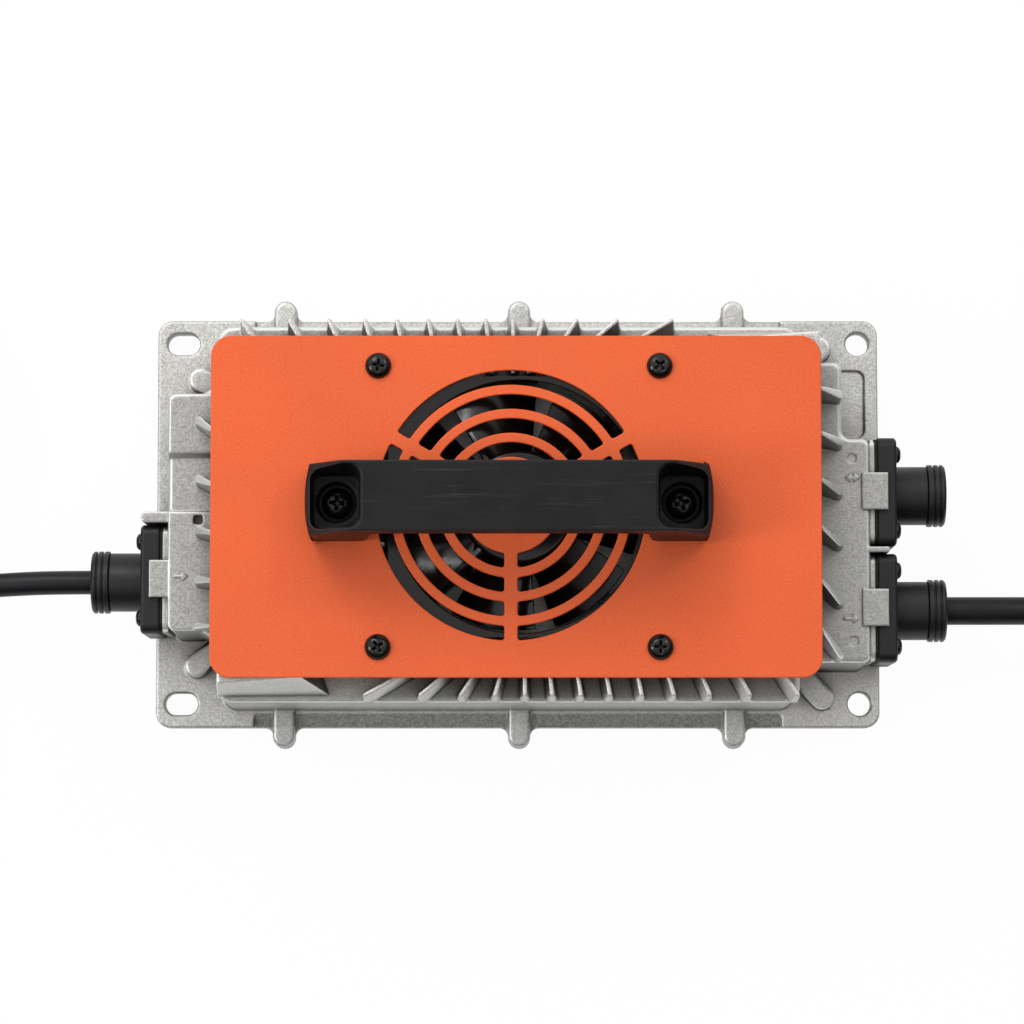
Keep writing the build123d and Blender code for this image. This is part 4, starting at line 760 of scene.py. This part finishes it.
def seat_screws(tree, node_name, places, axis, head_radius, seed):
    """A set of detailed screws that stands for the node's plain ones."""
    mesh = bpy.data.meshes.new(node_name + "_detailed")
    mesh.from_pydata(places, [], [])
    piece = placed(node_name + "_detailed", mesh)
    sockets = {item.name: item.identifier for item in tree.interface.items_tree if item.in_out == "INPUT"}
    repeat = piece.modifiers.new("screws", "NODES")
    repeat.node_group = tree
    repeat[sockets["Head Radius"]] = head_radius
    repeat[sockets["Axis"]] = axis
    repeat[sockets["Seed"]] = seed
    repeat[sockets["Finish"]] = make_finishes()["black_steel"]
    flattened(piece)
    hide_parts(node_name)
    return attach(piece, "charger")


def loose_parts(node_name):
    """The lowest and highest corner of each separate solid in a CAD node."""
    work = bmesh.new()
    work.from_mesh(nodes[node_name].data)
    bmesh.ops.remove_doubles(work, verts=work.verts, dist=WELD)
    boxes = []
    reached = set()
    # The solids come in the order of their first points, so that a screw gets the same turn in each run
    for first in work.verts:
        if first in reached:
            continue
        reached.add(first)
        stack = [first]
        low = first.co.copy()
        high = first.co.copy()
        while stack:
            vert = stack.pop()
            low = Vector(map(min, low, vert.co))
            high = Vector(map(max, high, vert.co))
            for edge in vert.link_edges:
                other = edge.other_vert(vert)
                if other not in reached:
                    reached.add(other)
                    stack.append(other)
        boxes.append((low, high))
    work.free()
    return boxes


class CHARGER_OT_casting(bpy.types.Operator):
    """Blast the finned housing and soften its edges"""

    bl_idname = "charger.casting"
    bl_label = "Housing"

    def execute(self, context):
        softened("casting", context.scene.charger_sizes.casting_edge, top=HOUSING_EDGE_TOP)
        softened("base_cover", COVER_EDGE)
        finish_nodes("base_seal", "base_screws")
        return {"FINISHED"}


def arrow_outline(length, width, stroke, two_headed):
    """Corners of a flat arrow that points along X, anticlockwise from its tail."""
    head_share = 0.42
    head = head_share * length
    tip, neck, half = length / 2, length / 2 - head, width / 2
    right = [(neck, -stroke / 2), (neck, -half), (tip, 0.0), (neck, half), (neck, stroke / 2)]
    if two_headed:
        return right + [(-x, y) for x, y in reversed(right)]
    return right + [(-tip, stroke / 2), (-tip, -stroke / 2)]


class CHARGER_OT_marks(bpy.types.Operator):
    """Raise an arrow on the housing beside each gland: in, out, and both ways"""

    bl_idname = "charger.marks"
    bl_label = "Arrows"

    def execute(self, context):
        surface = nodes["casting"].data
        corners = [vert.co for vert in surface.vertices]
        housing = BVHTree.FromPolygons(corners, [tuple(face.vertices) for face in surface.polygons])
        above, down = 0.2, Vector((0, 0, -1))
        for name, x, y, two_headed in (
            ("input_arrow", -0.1204, -0.0225, False),
            ("output_arrow", 0.1190, -0.0375, False),
            ("signal_arrow", 0.1196, 0.0130, True),
        ):
            place = housing.ray_cast(Vector((x, y, above)), down)[0]
            if place is None:
                raise RuntimeError("no housing under " + name)
            outline = arrow_outline(ARROW_LENGTH, ARROW_WIDTH, ARROW_STROKE, two_headed)
            count = len(outline)
            low = place.z - ARROW_ROOT
            points = [(x + a, y + b, z) for z in (low, low + ARROW_RISE) for a, b in outline]
            ends = [list(range(count))[::-1], list(range(count, 2 * count))]
            sides = [(i, (i + 1) % count, (i + 1) % count + count, i + count) for i in range(count)]
            mesh = bpy.data.meshes.new(name)
            mesh.from_pydata(points, [], ends + sides)
            piece = placed(name, mesh)
            bevelled(piece, ARROW_EDGE, 2)
            flattened(piece)
            paint(piece, make_finishes()["cast_aluminium"])
            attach(piece, "charger")
        return {"FINISHED"}


class CHARGER_OT_plate(bpy.types.Operator):
    """Coat the slotted top plate"""

    bl_idname = "charger.plate"
    bl_label = "Top Plate"

    def execute(self, context):
        softened("top_plate", context.scene.charger_sizes.plate_edge)
        return {"FINISHED"}


class CHARGER_OT_handle(bpy.types.Operator):
    """Mould the bridge handle with rounded edges"""

    bl_idname = "charger.handle"
    bl_label = "Handle"

    def execute(self, context):
        softened("handle", HANDLE_EDGE, angle=30.0, steps=3)
        return {"FINISHED"}


class CHARGER_OT_screws(bpy.types.Operator):
    """Seat the pan-head screws of the plate, handle, fan and glands"""

    bl_idname = "charger.screws"
    bl_label = "Screws"

    def execute(self, context):
        template = screw_template()
        tree = screw_tree(template)
        # Node, direction that the heads face, radius and height of a head
        sets = (
            ("plate_screws", (0, 0, 1), 0.0046, 0.0031),
            ("handle_screws", (0, 0, 1), 0.0056, 0.0036),
            ("fan_screws", (0, 0, 1), 0.0035, 0.0024),
            ("input_gland_screws", (-1, 0, 0), 0.0031, 0.0019),
            ("output_gland_screws", (1, 0, 0), 0.0031, 0.0019),
            ("signal_gland_screws", (1, 0, 0), 0.0031, 0.0019),
            ("board_screws", (0, 0, -1), 0.0028, 0.0020),
        )
        for seed, (name, axis, head_radius, head_height) in enumerate(sets):
            places = []
            for low, high in loose_parts(name):
                middle = (low + high) / 2
                along = Vector(axis)
                tip = max(along.dot(low), along.dot(high))
                places.append(middle - along * along.dot(middle) + along * (tip - head_height))
            seat_screws(tree, name, places, axis, head_radius, seed)
        bpy.data.objects.remove(template)
        return {"FINISHED"}


class CHARGER_OT_fan(bpy.types.Operator):
    """Mould the fan's frame and blades in gloss black"""

    bl_idname = "charger.fan"
    bl_label = "Fan"

    def execute(self, context):
        softened("fan_frame", FAN_FRAME_EDGE)
        softened("fan_rotor", BLADE_EDGE, angle=40.0)
        finish_nodes("fan_shaft", "fan_bearings", "fan_magnet", "fan_stator", "fan_lead", "fan_grommet")
        return {"FINISHED"}


class CHARGER_OT_glands(bpy.types.Operator):
    """Mould the flanged glands, their nuts and their rubber sleeves"""

    bl_idname = "charger.glands"
    bl_label = "Glands"

    def execute(self, context):
        for name in ("input", "output", "signal"):
            softened(name + "_gland", context.scene.charger_sizes.moulding_edge)
            softened(name + "_nut", NUT_EDGE)
            finish_nodes(name + "_gasket")
        finish_nodes("input_grommet", "output_grommet", "signal_blank")
        return {"FINISHED"}


def coil_turns(centre, tracks, direction, last_sweep):
    """Points of a wound coil: one (radius, height) track for each turn, each laid beside the one before."""
    per_turn = 18
    # The smooth curve runs a little inside its points
    inset = 0.99
    # Degrees of each turn where the cable begins to change tracks, and over which it does
    change_start, change_length = 285.0, 42.0
    points = []
    for number, (radius, height) in enumerate(tracks):
        following = tracks[min(number + 1, len(tracks) - 1)]
        sweep = 360.0 if number < len(tracks) - 1 else last_sweep
        for step in range(int(per_turn * sweep / 360.0)):
            turned = 360.0 * step / per_turn
            change = min(1.0, max(0.0, (turned - change_start) / change_length))
            at_radius = (radius + (following[0] - radius) * change) / inset
            at_height = height + (following[1] - height) * change
            angle = math.radians(-90.0 + direction * turned)
            x, y = centre[0] + at_radius * math.cos(angle), centre[1] + at_radius * math.sin(angle)
            points.append((x, y, at_height))
    return points


def lay_cable(name, run, turns, tail, diameter):
    """A cable as one smooth open curve along its run, its coil and its tail."""
    curve = bpy.data.curves.new(name, "CURVE")
    curve.dimensions = "3D"
    curve.bevel_depth = diameter / 2
    curve.bevel_resolution = 6
    curve.use_fill_caps = True
    spline = curve.splines.new("NURBS")
    points = list(run) + list(turns) + list(tail)
    spline.points.add(len(points) - 1)
    for point, place in zip(spline.points, points):
        point.co = (*place, 1.0)
    spline.order_u = 3
    spline.use_endpoint_u = True
    spline.resolution_u = 8
    piece = placed(name, curve)
    curve.materials.append(make_finishes()["cable_sheath"])
    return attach(piece, "charger")


class CHARGER_OT_cables(bpy.types.Operator):
    """Lay the two cables, each wound into a tied coil beside the charger"""

    bl_idname = "charger.cables"
    bl_label = "Cables"

    def execute(self, context):
        sizes = context.scene.charger_sizes
        ends = ("input_plug", "output_connector", "input_tie", "output_tie")
        soft_ends = [softened(name, CABLE_END_EDGE) for name in ends]
        finish_nodes("input_pins", "output_contacts", "input_wires", "output_wires")
        thick = sizes.input_cable
        outer, inner = 6 * thick, 5 * thick
        high, middle, low = 0.0229, 0.0143, 0.0057
        tracks = ((outer, high), (outer, middle), (outer, low), (inner, low), (inner, middle), (inner, high))
        centre = (INPUT_COIL_X, INPUT_RUN[-1][1] + outer)
        turns = coil_turns(centre, tracks, -1, LAST_TURN)
        cable = lay_cable("mains_cable", INPUT_RUN, turns, INPUT_TAIL, thick)
        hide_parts("input_cable", "input_coil", "input_tail")
        thick = sizes.output_cable
        outer, inner = 6 * thick, 5 * thick
        high, low = 0.01655, 0.00645
        tracks = ((outer, high), (outer, low), (inner, low), (inner, high))
        centre = (OUTPUT_COIL_X, OUTPUT_RUN[-1][1] + outer)
        turns = coil_turns(centre, tracks, 1, LAST_TURN)
        cable = lay_cable("battery_cable", OUTPUT_RUN, turns, OUTPUT_TAIL, thick)
        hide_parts("output_cable", "output_coil", "output_tail")
        return {"FINISHED"}


class CHARGER_OT_inside(bpy.types.Operator):
    """Finish the circuit board and what stands on it"""

    bl_idname = "charger.inside"
    bl_label = "Inside Parts"

    def execute(self, context):
        finish_nodes(
            "circuit_board",
            "transformer_core",
            "transformer_winding",
            "choke_core",
            "choke_winding",
            "filter_choke",
            "bulk_capacitors",
            "output_capacitors",
            "heat_bar",
            "power_parts",
            "relay",
            "fuse",
            "terminal_blocks",
        )
        return {"FINISHED"}


def ray_mask(tree, *kinds):
    """1 for rays of the named kinds and 0 for all others."""
    rays = add_node(tree, "ShaderNodeLightPath").outputs
    mask = rays[kinds[0]]
    for kind in kinds[1:]:
        mask = maths(tree, "MAXIMUM", mask, rays[kind])
    return mask


def white_paper():
    """Matt white paper that glows for the camera, gloss and glass, so that they see a white ground."""
    material = bpy.data.materials.new("white_paper")
    material.use_nodes = True
    tree = material.node_tree
    tree.nodes.clear()
    seen = ray_mask(tree, "Is Camera Ray", "Is Glossy Ray", "Is Transmission Ray")
    paper = add_node(tree, "ShaderNodeBsdfDiffuse", {"Color": (0.95, 0.95, 0.95, 1)})
    glow = add_node(tree, "ShaderNodeEmission", {"Color": (1, 1, 1, 1), "Strength": 1.0})
    share = maths(tree, "MULTIPLY", seen, FLOOR_GLOW)
    both = add_node(tree, "ShaderNodeMixShader", {0: share, 1: paper.outputs[0], 2: glow.outputs[0]})
    add_node(tree, "ShaderNodeOutputMaterial", {"Surface": both.outputs[0]})
    return material


def soft_studio():
    """A world that is bright overhead, with a band of soft light, and white where it is looked at."""
    world = bpy.data.worlds.new("soft_studio")
    world.use_nodes = True
    tree = world.node_tree
    tree.nodes.clear()
    where = add_node(tree, "ShaderNodeTexCoord").outputs["Generated"]
    up = add_node(tree, "ShaderNodeSeparateXYZ", {"Vector": where}).outputs
    # Brightest overhead, and brighter towards the far side than the near one
    lean = maths(tree, "MULTIPLY_ADD", up["Y"], 0.6, up["Z"])
    lean = maths(tree, "MULTIPLY_ADD", up["X"], -0.15, lean)
    level = span(tree, lean, 0.0, 0.92, 0.15, 0.8)
    # A bright band halfway up, as round softboxes make, which rounded edges catch
    band = span(tree, up["Z"], 0.0, 0.35, 0.3, 0.5)
    band = maths(tree, "MULTIPLY", band, span(tree, up["Z"], 1.0, 0.0, 0.82, 0.94))
    band = maths(tree, "MULTIPLY", band, span(tree, up["Y"], 0.15, 1.0, -0.3, 0.4))
    level = maths(tree, "ADD", level, band)
    seen = ray_mask(tree, "Is Camera Ray", "Is Transmission Ray")
    level = add_node(tree, "ShaderNodeMix", {0: seen, 2: level, 3: 1.0}, data_type="FLOAT").outputs[0]
    sky = add_node(tree, "ShaderNodeBackground", {"Color": (1, 1, 1, 1), "Strength": level})
    add_node(tree, "ShaderNodeOutputWorld", {"Surface": sky.outputs[0]})
    return world


class CHARGER_OT_stage(bpy.types.Operator):
    """Set the pale floor, the soft lights and the camera"""

    bl_idname = "charger.stage"
    bl_label = "Stage"

    def execute(self, context):
        scene = context.scene
        bpy.ops.mesh.primitive_plane_add(size=FLOOR_SIZE, location=(0, 0, -FLOOR_GAP))
        floor = context.active_object
        floor.name = "floor"
        floor.data.materials.append(white_paper())
        scene.world = soft_studio()

        # Name, place and size in metres, and power in watts
        for name, place, size, power in (
            ("key_softbox", (-0.55, 0.9, 1.1), 0.55, 5.0),
            ("left_softbox", (-1.1, -0.2, 1.0), 0.3, 4.8),
            ("right_softbox", (0.85, 0.75, 1.3), 0.22, 1.9),
        ):
            lamp = bpy.data.lights.new(name, "AREA")
            lamp.size = size
            lamp.energy = power
            holder = placed(name, lamp)
            holder.location = place
            holder.rotation_euler = (LAMP_TARGET - Vector(place)).to_track_quat("-Z", "Y").to_euler()

        lens = bpy.data.cameras.new("camera")
        lens.sensor_width = 36.0
        lens.lens = 150.8
        lens.clip_end = 20.0
        camera = placed("camera", lens)
        back = Vector((0, -math.sin(CAMERA_TILT), math.cos(CAMERA_TILT)))
        camera.location = CAMERA_TARGET + CAMERA_DISTANCE * back
        camera.rotation_euler = (CAMERA_TILT, 0, 0)
        scene.camera = camera
        scene.view_settings.view_transform = "Standard"
        return {"FINISHED"}


class CHARGER_PT_looks(bpy.types.Panel):
    """Buttons for each group of pieces"""

    bl_idname = "CHARGER_PT_looks"
    bl_label = "Charger"
    bl_space_type = "VIEW_3D"
    bl_region_type = "UI"
    bl_category = "Charger"

    def draw(self, context):
        column = self.layout.column()
        for group in (context.scene.charger_sizes, context.scene.charger_colours):
            for key in group.__annotations__:
                column.prop(group, key)
        for operator in OPERATORS:
            column.operator(operator.bl_idname)


OPERATORS = (
    CHARGER_OT_stage,
    CHARGER_OT_cables,
    CHARGER_OT_casting,
    CHARGER_OT_marks,
    CHARGER_OT_plate,
    CHARGER_OT_handle,
    CHARGER_OT_screws,
    CHARGER_OT_fan,
    CHARGER_OT_glands,
    CHARGER_OT_inside,
)
CLASSES = (ChargerSizes, ChargerColours) + OPERATORS + (CHARGER_PT_looks,)


def register():
    for made in CLASSES:
        bpy.utils.register_class(made)
    bpy.types.Scene.charger_sizes = bpy.props.PointerProperty(type=ChargerSizes)
    bpy.types.Scene.charger_colours = bpy.props.PointerProperty(type=ChargerColours)


def unregister():
    del bpy.types.Scene.charger_colours
    del bpy.types.Scene.charger_sizes
    for made in reversed(CLASSES):
        bpy.utils.unregister_class(made)


def main():
    """Make the whole scene."""
    register()
    for operator in OPERATORS:
        group, name = operator.bl_idname.split(".")
        getattr(getattr(bpy.ops, group), name)()


if __name__ == "__main__":
    main()
